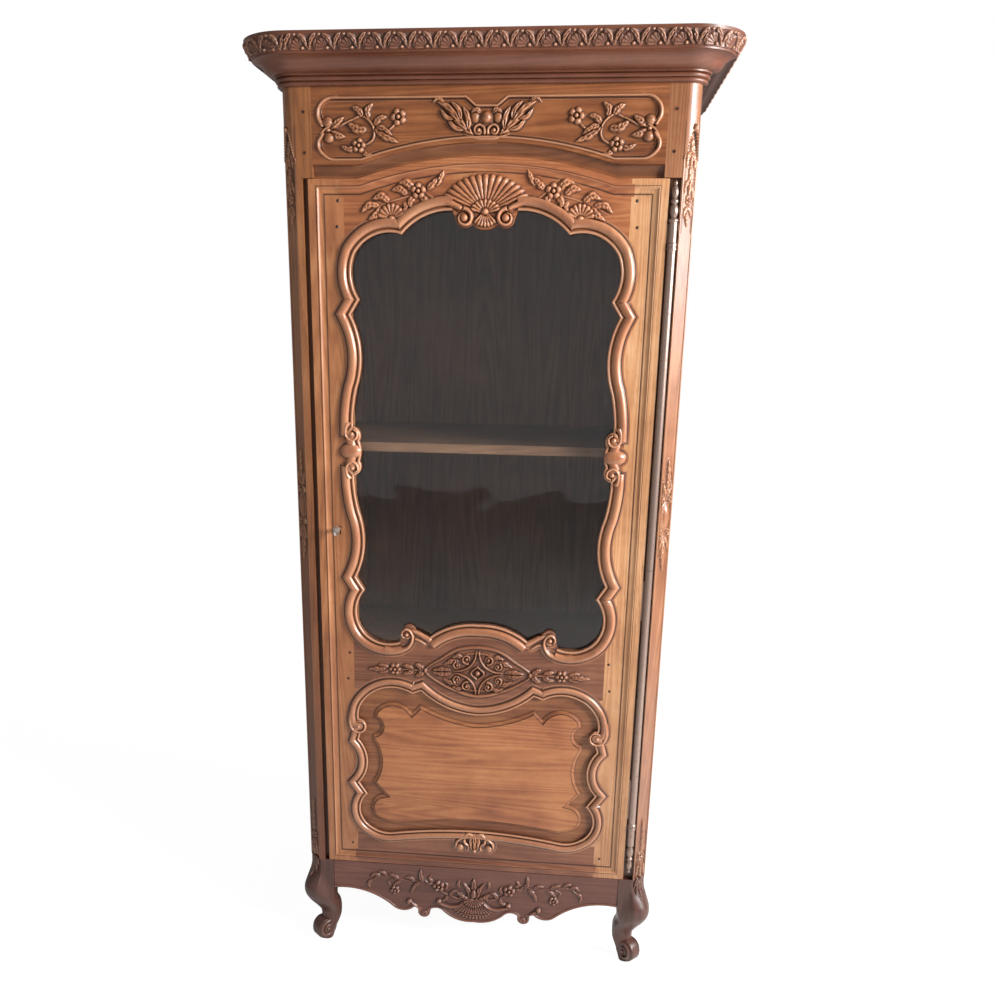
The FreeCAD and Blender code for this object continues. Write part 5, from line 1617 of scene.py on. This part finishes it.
@dataclass
class Apron(SubAssembly):
    """The shaped bottom rail of the case with its shell, branches and roses."""

    def build(self) -> None:
        """Builds the rail, the bead on its edge and the carving."""
        rail = self.copied("apron_rail")
        smooth(rail)
        self.fit(rail, Finish.APRON, "apron_rail")
        edge = APRON_EDGE.whole()[::-1]
        profile = [(0.3, -0.6), *half_round(0.3, 6.4, -0.2, 2.3), (7.2, -0.5)]
        bead = Moulding(profile, ground=0.0, depth=2.0).build("apron_bead", edge, closed=False)
        self.fit(bead, Finish.APRON)
        self.carving(edge)

    def carving(self, edge: np.ndarray) -> None:
        """Carves the rail's face.

        Args:
            edge: the rail's lower edge, which the carving keeps inside.
        """
        cut = Relief((0, -150), (276, -8), mirror=True)
        cut.stroke([(20, -88), (46, -82), (72, -72), (98, -58), (122, -38), (130, -20)],
                   (2.6, 2.6, 2.4, 2.4, 2.4, 2), (4.5, 4.5, 4.2, 4.2, 4, 3))
        cut.stroke([(122, -40), (150, -45), (186, -41), (215, -34)], (2, 2, 1.8, 1.4), (3.4, 3.4, 3.2, 2.4))
        cut.stroke([(214, -35), (238, -38), (252, -50), (259, -66)], (1.5, 2, 2, 1.2), (3, 3.6, 3.6, 2))
        cut.stroke([(200, -42), (212, -50), (206, -62)], (1.4, 1.6, 1.4), (3, 3, 2.6))
        cut.leaf([(126, -44), (132, -28), (131, -10)], 7, 5.4, lobes=2)
        cut.leaf([(134, -46), (148, -60), (155, -78)], 7, 5.2, lobes=2)
        cut.leaf([(146, -45), (158, -36), (172, -36)], 5.5, 4)
        cut.leaf([(186, -42), (198, -33), (212, -29)], 6, 4.4, lobes=2)
        cut.leaf([(180, -45), (192, -53), (203, -64)], 5, 4)
        cut.leaf([(232, -38), (246, -32), (258, -40)], 6, 4.4, lobes=2)
        cut.leaf([(252, -48), (262, -58), (259, -72)], 5.5, 4.2, lobes=2)
        cut.leaf([(218, -34), (226, -26), (238, -25)], 5, 4)
        cut.leaf([(60, -80), (52, -66), (40, -62)], 6, 4.6, lobes=2)
        cut.leaf([(96, -60), (106, -48), (118, -50)], 5, 4, lobes=2)
        cut.leaf([(64, -76), (70, -90), (84, -94)], 6, 4.6, lobes=2)
        cut.leaf([(72, -64), (66, -52), (70, -42)], 6, 4.4, lobes=2)
        cut.leaf([(100, -44), (110, -34), (104, -24)], 5, 4, lobes=2)
        cut.rosette((87, -54), 16.5, 8.5, turn=80)
        cut.rosette((196, -73), 13, 7, turn=60)
        cut.dome((160, -102), 7.5, 7.5, 9)
        cut.dome((86, -96), 7.5, 7.5, 9)
        cut.stroke([(154, -106), (144, -114), (136, -125)], (4, 4.5, 3), (5.5, 6, 4))
        cut.stroke([(84, -101), (60, -108), (40, -106), (25, -95), (18, -80)],
                   (4.4, 5.4, 5.8, 5.2, 4), (6.5, 7.6, 8.2, 7.6, 6))
        cut.leaf([(36, -34), (38, -44), (34, -54)], 4.5, 4.5)
        cut.leaf([(34, -66), (30, -76), (36, -88)], 6, 5, lobes=2)
        cut.leaf([(8, -80), (12, -60), (26, -38)], 7.5, 6.5, lobes=3)
        cut.leaf([(12, -84), (28, -76), (42, -64)], 7, 6.5, lobes=3)
        cut.leaf([(0, -62), (2, -44), (0, -26)], 6.5, 6, lobes=2)
        cut.fan((0, -76), 16, 66, (218, 322), 13, 8.0)
        cut.fan((0, -78), 6, 30, (205, 335), 9, 9.6)
        cut.dome((0, -68), 8.5, 13, 10.5)
        cut.dome((122, -134), 9, 8.5, 5, dish=3)
        cut.stroke([(0, -128), (18, -126), (34, -120)], (3.5, 3, 2), (6, 5.5, 3.5))
        reach = np.interp(cut.u, edge[::-1, 0], edge[::-1, 1])
        cut.h = np.where(cut.v < reach + 5.5, NO_GROUND - 1, cut.h)
        self.fit(cut.build("apron_carving", flat_face(0.0)), Finish.APRON)


@dataclass
class FrontPost(SubAssembly):
    """A front post with its carved cant, its cabriole leg and its scroll foot."""

    side: int = 1
    cut_level: float = -2.0
    cant_middle: Point = (398.0, 15.0)
    leg_middle: Point = (381.0, 31.0)
    sections: tuple[tuple[float, float, float], ...] = (
        (-240, 0, 17), (-212, -5, 20), (-185, -11, 24), (-160, -11, 26), (-140, -5, 31),
        (-120, 4, 34), (-100, 10, 36.5), (-80, 10, 38), (-60, 6, 37), (-25, 0, 33), (0, 0, 32),
    )
    toe_middle: tuple[float, float, float] = (385.0, 27.0, -211.0)
    toe_radius: float = 28.5
    toe_width: float = 31.0

    @property
    def label(self) -> str:
        """Which side the post stands on."""
        return "right" if self.side > 0 else "left"

    def build(self) -> None:
        """Builds the post from the top down."""
        node = f"front_post_{self.label}"
        post = self.copied(node)
        level = (self.cut_level + DOOR_FOOT) / 1000
        with edited(post):
            bpy.ops.mesh.bisect(plane_co=(0, 0, level), plane_no=(0, 0, 1), use_fill=True,
                                clear_inner=True)
        cut_away(post, self.stop_tool())
        smooth(post)
        # The recessed flat beside the door is darkened with painted shade.
        stain(post, lambda at, n: np.where((np.abs(at[:, 1] - 12.5) < 0.5) & (at[:, 2] < 1560), -1.0, 0.0))
        self.fit(post, self.wood, node)
        self.cant()
        self.leg()
        self.toe()

    @property
    def wood(self) -> Finish:
        """The post's own finish: the left post's is a darker copy, painted shade."""
        return Finish.POST if self.side > 0 else Finish.DARK_POST

    def stop_tool(self) -> bpy.types.Object:
        """Makes the tool that carries the cant up into the round corner, for its carved stop.

        Returns:
            The closed tool.
        """
        wide, thick, tall, level = 60.0, 30.0, 62.0, 1617.0
        tool = primitive(bpy.ops.mesh.primitive_cube_add, "stop_tool", size=1)
        across, back = self.cant_middle
        inset = thick / 2 * ROOT
        centre = to_metres([(self.side * (across + inset), back - inset, level)])[0]
        turn = Matrix.Rotation(self.side * math.pi / 4, 4, "Z")
        scale = Matrix.Diagonal((wide / 1000, thick / 1000, tall / 1000, 1))
        tool.data.transform(Matrix.Translation(Vector(centre)) @ turn @ scale)
        return tool

    def cant_face(self, u: np.ndarray, v: np.ndarray, h: np.ndarray) -> np.ndarray:
        """Places carving on the cant.

        Args:
            u: distance across the cant from its middle.
            v: height over the door's bottom edge.
            h: height over the cant.

        Returns:
            The places in the door's frame.
        """
        across, back = self.cant_middle
        return np.stack([self.side * (across + (u + h) * ROOT), back + (u - h) * ROOT, v], axis=-1)

    def carve(self, cut: Relief, name: str, place: Placer, finish: Finish) -> None:
        """Builds carving that is drawn on the right post and mirrored on the left.

        Args:
            cut: the carving.
            name: its name, without the side.
            place: the function that places a point of it on this post.
            finish: what it is cut from.
        """
        self.fit(cut.build(f"{name}_{self.label}", place, flip=self.side < 0), finish)

    def cant(self) -> None:
        """Runs the beads along the cant and carves its three trophies."""
        beads = Relief((-21, -2), (21, 1584), pitch=0.7, tall=40.0)
        for edge in (-18.6, 18.6):
            q = np.abs(beads.u - edge) / 2.2
            bead = np.where(q < 1, 2.0 * np.sqrt(1 - q.clip(0, 1) ** 2) + 0.02, BARE)
            beads.h = np.maximum(beads.h, bead)
        top = Relief((-21.2, 1452), (21.2, 1649))
        top.leaf([(0, 1622), (2, 1600), (-1, 1570)], 8, 5, lobes=4)
        top.leaf([(-3, 1598), (-10, 1588), (-12, 1570)], 6, 4.4, lobes=2)
        top.leaf([(3, 1596), (10, 1586), (12, 1568)], 6, 4.4, lobes=2)
        top.leaf([(0, 1572), (3, 1545), (-2, 1515)], 9, 5, lobes=4)
        top.leaf([(-2, 1548), (-10, 1538), (-13, 1524)], 5, 4, lobes=2)
        top.leaf([(4, 1540), (11, 1528), (12, 1514)], 5, 4, lobes=2)
        top.rosette((0, 1512), 10, 5)
        top.leaf([(0, 1502), (-3, 1486), (0, 1464)], 6.5, 4.4, lobes=3)
        top.leaf([(0, 1500), (8, 1492), (11, 1480)], 4.5, 3.6)
        top.leaf([(0, 1500), (-8, 1492), (-11, 1480)], 4.5, 3.6)
        tongue = 1586 + 50 * ease(21.4 - np.abs(top.u), 0.0, 17.0)
        rise = (np.sqrt(32.4 ** 2 - top.u ** 2) - 24.04).clip(0.3, None)
        rim = 2.2 * np.exp(-((top.v - tongue) / 2.6) ** 2)
        curl = rise * ease(top.v - tongue, -3.0, 2.0) + rim
        top.h = np.where(top.v > tongue - 4, curl + 0.05, np.maximum(top.h, 0.02))
        top.dome((0, 1641), 6.5, 6.5, 12.0)
        middle = Relief((-21.2, 752), (21.2, 1016))
        middle.leaf([(0, 930), (2, 965), (-2, 1008)], 8, 4.6, lobes=5)
        middle.leaf([(0, 838), (-2, 800), (2, 760)], 8, 4.6, lobes=5)
        for up in (1, -1):
            mid = 884
            middle.leaf([(0, mid + 44 * up), (-8, mid + 56 * up), (-13, mid + 74 * up)], 5, 4, lobes=2)
            middle.leaf([(0, mid + 44 * up), (9, mid + 58 * up), (12, mid + 76 * up)], 5, 4, lobes=2)
            middle.volute((-9, mid + 34 * up), 7, 90 * up, 1.1 * up, 2.6, 4.6, 2.6)
            middle.volute((9, mid + 34 * up), 7, 90 * up, -1.1 * up, 2.6, 4.6, 2.6)
        middle.dome((0, 884), 14.5, 31, 3.4, power=5)
        middle.dome((0, 884), 9.5, 24, 6.5)
        foot = Relief((-21.2, -2), (21.2, 168))
        foot.leaf([(0, 70), (3, 110), (-2, 160)], 8, 4.6, lobes=5)
        foot.rosette((0, 62), 11, 5.2)
        foot.leaf([(0, 52), (-8, 32), (-12, 6)], 6.5, 4.6, lobes=3)
        foot.leaf([(0, 52), (9, 30), (13, 4)], 6.5, 4.6, lobes=3)
        foot.leaf([(0, 50), (0, 26), (0, -1)], 7, 5.4, lobes=3)
        for cut, name in ((beads, "beads"), (top, "head"), (middle, "middle"), (foot, "foot")):
            self.carve(cut, f"cant_{name}", self.cant_face, self.wood)

    def leg_face(self, u: np.ndarray, v: np.ndarray, h: np.ndarray) -> np.ndarray:
        """Places a point on the leg.

        Args:
            u: angle round the leg in degrees, from its outer side through the front.
            v: height over the door's bottom edge.
            h: height over the leg's surface.

        Returns:
            The places in the door's frame.
        """
        levels, outs, halves = zip(*self.sections)
        out, half = glide(v, levels, outs), glide(v, levels, halves)
        c, s = np.cos(np.radians(u)), -np.sin(np.radians(u))
        square = np.minimum(32 / np.maximum(np.abs(c), 1e-6), 31 / np.maximum(np.abs(s), 1e-6))
        canted = np.where(c - s > 0.01, 33 / np.maximum(c - s, 0.01), 1e6)
        post = np.minimum(square, canted)
        bow = half / (np.abs(c) ** 2.5 + np.abs(s) ** 2.5) ** 0.4
        arris = 2.0 * np.exp(-((u - 135) / 5.5) ** 2) * ease(v, -236.0, -200.0) * ease(-v, 20.0, 90.0)
        inner = np.clip(-c, 0, 1) ** 0.6
        share = ease(-v, 6.0 + 80 * inner, 84.0 + 48 * inner)
        radius = post + (bow - post) * share + arris + h
        lean = out * (1 - inner * (1 - ease(-v, 86.0, 132.0)))
        across, back = self.leg_middle
        return np.stack([self.side * (across + lean + radius * c), back - lean + radius * s, v], axis=-1)

    def leg(self) -> None:
        """Makes the leg and the carving that runs down over its knee."""
        grid = Relief((0, -240), (360, -1.0), pitch=5.0, tall=3.0)
        places = self.leg_face(grid.u, grid.v, np.zeros(grid.u.shape))
        leg = new_sheet(f"leg_{self.label}", places)
        with edited(leg):
            bpy.ops.mesh.remove_doubles(threshold=0.00002)
            fill_ends()
        self.fit(close_up(leg), Finish.LEG)
        knee = Relief((10, -58), (80, 2), pitch=1.0)
        knee.leaf([(45, 2), (45, -18), (45, -50)], 9, 4.6, lobes=3)
        knee.leaf([(42, 2), (32, -14), (26, -36)], 6.5, 4.4, lobes=3)
        knee.leaf([(48, 2), (58, -14), (64, -36)], 6.5, 4.4, lobes=3)
        knee.leaf([(38, 0), (24, -6), (17, -20)], 5, 3.8, lobes=2)
        knee.leaf([(52, 0), (66, -6), (73, -20)], 5, 3.8, lobes=2)
        knee.dome((45, 0), 8, 7, 6)
        self.carve(knee, "knee_carving", self.leg_face, Finish.LEG)

    def cheek(self, outward: int) -> Placer:
        """Gives the placer of one cheek of the scroll foot.

        Args:
            outward: 1 for the outer cheek, -1 for the inner one.

        Returns:
            The function that places a point on that cheek.
        """
        cx, cy, cz = self.toe_middle

        def place(u: np.ndarray, v: np.ndarray, h: np.ndarray) -> np.ndarray:
            """Places a point of the cheek.

            Args:
                u: distance out along the diagonal.
                v: distance up.
                h: height over the cheek.

            Returns:
                The places in the door's frame.
            """
            depth = outward * (self.toe_width / 2 - 0.5 + h)
            return np.stack([self.side * (cx + (u + depth) * ROOT), cy + (depth - u) * ROOT, cz + v],
                            axis=-1)

        return place

    def toe(self) -> None:
        """Makes the scroll foot: a rounded drum with a volute on each cheek."""
        toe = primitive(bpy.ops.mesh.primitive_cylinder_add, f"toe_{self.label}", vertices=72,
                        radius=self.toe_radius / 1000, depth=self.toe_width / 1000)
        apply_modifier(toe, "BEVEL", width=0.006, segments=5, limit_method="ANGLE")
        across = Vector((self.side, 1, 0)).normalized()
        turn = Vector((0, 0, 1)).rotation_difference(across).to_matrix().to_4x4()
        cx, cy, cz = self.toe_middle
        centre = Vector(to_metres([(self.side * cx, cy, cz)])[0])
        toe.data.transform(Matrix.Translation(centre) @ turn)
        smooth(toe, 40)
        self.fit(toe, Finish.LEG)
        cut = Relief((-28, -28), (28, 28), pitch=1.0, skirt=1.0)
        cut.volute((0, 0), 22.5, 100, -1.5, 6.0, 6.0, 6.5)
        self.carve(cut, "toe_inner_scroll", self.cheek(-1), Finish.LEG)
        outer = cut.build(f"toe_outer_scroll_{self.label}", self.cheek(1), flip=self.side > 0)
        self.fit(outer, Finish.LEG)


@dataclass
class Cornice(SubAssembly):
    """The cornice: a run along the front, two round corners and two returns, with a leaf band."""

    base: float = 1717.0
    corner: float = 381.0
    round_off: float = 32.0
    depth: float = 560.0
    unit: float = 47.6
    band_foot: Point = (59.0, 49.0)
    band_top: Point = (72.0, 79.0)
    band_arc: Step = ((63.5, 62), (70, 73))
    section: Line = Line((0, 0), (
        ((6, 0),), ((9.5, 4), (6, 8)), ((9, 8),), ((13, 12), (9, 16)), ((16, 17),), ((16, 20),),
        ((25, 22), (35, 31)), ((45, 41), (57, 45)), ((57, 48),), ((59, 49),),
        ((63.5, 62), (70, 73)), ((72, 74),), ((72, 80),), ((0, 80),),
    ), closed=False)

    def build(self) -> None:
        """Builds the five lengths and the leaf band on each."""
        back = self.depth - self.round_off
        self.run("front", (-self.corner, 0.0), 0, (2 * self.corner, 0.0, 0.0), Finish.CORNICE)
        for side, label in SIDES:
            self.round_corner(side, label)
            origin = (side * (self.corner + self.round_off), self.round_off)
            self.run(f"side_{label}", origin, side, (0.0, back, 0.0), Finish.CORNICE_END)
        cut = self.leaves(-self.corner, self.corner, 0.0)
        self.fit(cut.build("leaf_band_front", self.band_face()), Finish.CORNICE)
        # The band turns each corner along the quarter circle 66 mm out from the case.
        quarter = (self.round_off + 66.0) * math.pi / 2
        for side, label in SIDES:
            for name, long, first, turn, finish in (("corner", quarter, 10.0, quarter, Finish.CORNICE),
                                                    ("side", back, 3.0, 0.0, Finish.CORNICE_END)):
                cut = self.leaves(0.0, long, first)
                piece = cut.build(f"leaf_band_{name}_{label}", self.band_face(side, turn), flip=side < 0)
                self.fit(piece, finish)

    def ring(self, name: str, origin: Point, side: int) -> bpy.types.Object:
        """Draws the section as a face.

        Args:
            name: the piece's name.
            origin: where the section's foot stands, across and back.
            side: 1 or -1 for a section that faces right or left, 0 for the front.

        Returns:
            An object of one face.
        """
        out = self.section.half(2.0)
        zero = np.zeros(len(out))
        x, y = (side * out[:, 0], zero) if side else (zero, -out[:, 0])
        points = np.column_stack([origin[0] + x, origin[1] + y, self.base + out[:, 1]])
        return new_piece(name, points, [range(len(points))])

    def run(self, name: str, origin: Point, side: int, length: tuple[float, float, float],
            finish: Finish) -> None:
        """Makes a straight run.

        Args:
            name: the last part of the piece's name.
            origin: where the section's foot stands, across and back.
            side: the way that the run faces, as for the section.
            length: how far the section is drawn out along each axis.
            finish: what the run is made of.
        """
        piece = draw_out(self.ring(f"cornice_{name}_worked", origin, side), length)
        self.fit(piece, finish, f"cornice_{name}")

    def round_corner(self, side: int, label: str) -> None:
        """Spins the section round a corner.

        Args:
            side: 1 for the right corner, -1 for the left.
            label: the side's name.
        """
        piece = self.ring(f"cornice_corner_{label}_worked", (side * self.corner, 0.0), 0)
        centre = to_metres([(side * self.corner, self.round_off, self.base)])[0]
        with edited(piece):
            bpy.ops.mesh.spin(steps=28, angle=-side * math.pi / 2, center=tuple(centre), axis=(0, 0, 1))
            fill_ends()
        self.fit(close_up(piece), Finish.CORNICE, f"cornice_corner_{label}")

    def band_ground(self, v: np.ndarray, h: np.ndarray) -> tuple[np.ndarray, np.ndarray]:
        """Finds a point of the leaf band on the section.

        Args:
            v: distance up the band.
            h: height over it.

        Returns:
            How far it stands out, and its height.
        """
        arc = arc_points(self.band_foot, *self.band_arc, 1.0)
        points = np.array([self.band_foot, *arc, self.band_top])
        runs = run_lengths(points)
        slope = np.gradient(points, runs, axis=0)
        out = np.interp(v, runs, points[:, 0]) + h * np.interp(v, runs, slope[:, 1])
        up = np.interp(v, runs, points[:, 1]) - h * np.interp(v, runs, slope[:, 0])
        return out, self.base + up

    def band_face(self, side: int = 0, quarter: float = 0.0) -> Placer:
        """Gives the placer of a length of the leaf band.

        Args:
            side: 1 or -1 for a length on the right or left, 0 for the front.
            quarter: length of a round corner's quarter circle, 0 for a straight length.

        Returns:
            The function that places a point of that length.
        """
        def place(u: np.ndarray, v: np.ndarray, h: np.ndarray) -> np.ndarray:
            """Places a point of the band.

            Args:
                u: distance along it.
                v: distance up it.
                h: height over it.

            Returns:
                The places in the door's frame.
            """
            out, up = self.band_ground(v, h)
            if not side:
                return np.stack([u, -out, up], axis=-1)
            reach = self.round_off + out
            if not quarter:
                return np.stack([side * (self.corner + reach), self.round_off + u, up], axis=-1)
            angle = u / quarter * math.pi / 2
            return np.stack([side * (self.corner + reach * np.sin(angle)),
                             self.round_off - reach * np.cos(angle), up], axis=-1)

        return place

    def leaves(self, low: float, high: float, first: float) -> Relief:
        """Carves a length of the leaf band.

        Args:
            low: where the length starts.
            high: where it ends.
            first: place of a first leaf; the others follow a unit apart.

        Returns:
            The carving.
        """
        cut = Relief((low, 0.3), (high, 30.0), pitch=1.0)
        x = first - math.ceil((first - low) / self.unit + 1) * self.unit
        while x < high + self.unit:
            cut.leaf([(x + 46, 1), (x + 48, 8), (x + 46, 17)], 4.0, 3.6, veins=2)
            cut.leaf([(x + 15, 2), (x + 12, 9), (x + 14, 20)], 4.5, 3.8, veins=2)
            cut.fan((x + 34, 2), 4, 24, (88, 188), 5, 4.2, squash=0.95)
            cut.leaf([(x + 28, 29), (x + 38, 21), (x + 45, 4)], 5.6, 5.2, veins=3)
            cut.leaf([(x + 15, 29), (x + 7, 21), (x + 1, 6)], 5.0, 5.2, veins=3)
            cut.dome((x + 22, 27.5), 3.8, 2.8, 4.2)
            cut.dome((x + 35, 4), 4, 3.6, 5.2)
            x += self.unit
        return cut


@dataclass
class Carcass(SubAssembly):
    """Everything that keeps its CAD shape: boards, sides, shelves, pegs, glass and ironwork."""

    def build(self) -> None:
        """Gives the shelves their painted shade and highlight, and each CAD node that stays its finish."""
        for name in ("lower_shelf", "upper_shelf"):
            shelf = self.copied(name)
            # Painted shade darkens a shelf's top, and a painted highlight makes its front edge pale.
            stain(shelf, lambda at, n: np.select([n[:, 2] > 0.5, n[:, 1] < -0.5], [-0.7, 0.5], 0.0))
            self.fit(shelf, Finish.BOARD, name, slot="carcass_board")
        for finish, stems in (
            (Finish.SIDE, ("rear_post", "side_panel")),
            (Finish.SIDE_RAIL, ("side_bottom_rail", "side_middle_rail", "side_top_rail")),
            (Finish.BOARD, ("back_bottom_rail", "back_top_rail", "bottom_board", "top_board")),
            (Finish.BACK_BOARD, ("back_board",)),
            (Finish.DEEP_BOARD, ("floor_battens", "lower_shelf_battens", "upper_shelf_battens")),
            (Finish.PEG, ("frame_pegs", "side_pegs")),
            (Finish.STILE, ("glazing_bead",)),
            (Finish.GLASS, ("glass_pane",)),
            (Finish.IRON, ("hinge",)),
            (Finish.LOCK_IRON, ("strike_plate", "lock_case")),
            (Finish.BRASS, ("lock_screws", "lock_bolt")),
            (Finish.KEY_IRON, ("key",)),
        ):
            for name, node in self.nodes.items():
                if name.startswith(stems):
                    node.data.materials.clear()
                    node.data.materials.append(finish.material)
                    log.info("%s: dressed", name)


@dataclass
class Studio:
    """Camera, floor and light."""

    place: tuple[float, float, float] = (0.1944, -2.3404, 1.5218)
    lens: float = 35.37
    shift: tuple[float, float] = (0.0301, 0.1228)
    yaw: float = 0.747
    pitch: float = 17.03
    roll: float = 5.98

    def build(self) -> None:
        """Sets up the camera, the floor, the lamps and the world."""
        self.camera()
        self.floor()
        self.lamps()
        self.world()
        bpy.context.scene.view_settings.view_transform = "Standard"

    def camera(self) -> None:
        """Stands the camera where the photograph was taken from."""
        a, b, c = (math.radians(v) for v in (self.yaw, self.pitch, self.roll))
        level = np.array([[math.cos(c), 0, math.sin(c)], [0, 1, 0], [-math.sin(c), 0, math.cos(c)]])
        nod = np.array([[1, 0, 0], [0, math.cos(b), -math.sin(b)], [0, math.sin(b), math.cos(b)]])
        turn = np.array([[math.cos(a), -math.sin(a), 0], [math.sin(a), math.cos(a), 0], [0, 0, 1]])
        rows = turn @ nod @ level
        right, down, ahead = (Vector((r[0], r[2], -r[1])) for r in rows)
        data = bpy.data.cameras.new("camera")
        data.sensor_width, data.lens = 36.0, self.lens
        data.shift_x, data.shift_y = self.shift
        camera = link("camera", data)
        axes = Matrix((right, -down, -ahead)).transposed().to_4x4()
        camera.matrix_world = Matrix.Translation(Vector(self.place)) @ axes
        bpy.context.scene.camera = camera

    def floor(self) -> None:
        """Lays the pale floor, which keeps the cabinet's shadow."""
        floor = primitive(bpy.ops.mesh.primitive_plane_add, "floor", size=14)
        material, add = new_material("pale_floor")
        camera_ray = add("LightPath", out="Is Camera Ray")
        glow = add("Math", {0: camera_ray, 1: 0.95}, operation="MULTIPLY")
        paint = add("Mix", {"Factor": camera_ray, 6: linear("F2F2F0"), 7: linear("787877")}, 2,
                    data_type="RGBA")
        shader = add("BsdfPrincipled", {
            "Base Color": paint, "Roughness": 0.9, "Specular IOR Level": 0.1,
            "Emission Color": linear("FFFFFF"), "Emission Strength": glow})
        add("OutputMaterial", {"Surface": shader})
        floor.data.materials.append(material)

    def lamps(self) -> None:
        """Hangs a large soft lamp to the right, one beside it and a weak one to the left."""
        for name, place, aim, size, watts in (
            ("window", (3.3, -2.1, 2.4), (0.2, -0.1, 1.0), 1.3, 198.0),
            ("side", (2.3, -0.55, 1.8), (0.3, -0.25, 1.0), 0.9, 50.0),
            ("fill", (-2.2, -3.0, 1.6), (0.0, 0.0, 0.9), 2.0, 6.0),
        ):
            data = bpy.data.lights.new(name, "AREA")
            data.shape, data.size, data.energy = "DISK", size, watts
            lamp = link(name, data)
            lamp.location = place
            lamp.rotation_euler = (Vector(aim) - Vector(place)).to_track_quat("-Z", "Y").to_euler()

    def world(self) -> None:
        """Surrounds the cabinet with soft light that the camera sees as white."""
        world = bpy.data.worlds.new("studio")
        bpy.context.scene.world = world
        world.use_nodes = True
        world.node_tree.nodes.clear()
        add = partial(add_node, world.node_tree)
        glossy = add("LightPath", out="Is Glossy Ray")
        strength = add("MapRange", {"Value": glossy, "To Min": 0.22, "To Max": 0.3})
        for ray in ("Is Camera Ray", "Is Transmission Ray"):
            strength = add("Math", {0: strength, 1: glossy.node.outputs[ray]}, operation="MAXIMUM")
        add("OutputWorld", {
            "Surface": add("Background", {"Color": linear("FFFFFF"), "Strength": strength})})


def main() -> None:
    """Builds the cabinet's looks in order."""
    logging.basicConfig(level=logging.INFO, format="%(message)s")
    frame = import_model()
    nodes = frame["nodes"]
    Studio().build()
    Carcass(nodes).build()
    Frieze(nodes).build()
    Apron(nodes).build()
    for side, _ in SIDES:
        FrontPost(nodes, side=side).build()
    Cornice(nodes).build()
    Door(nodes).build()
    bpy.ops.object.select_all(action="DESELECT")


if __name__ == "__main__":
    main()
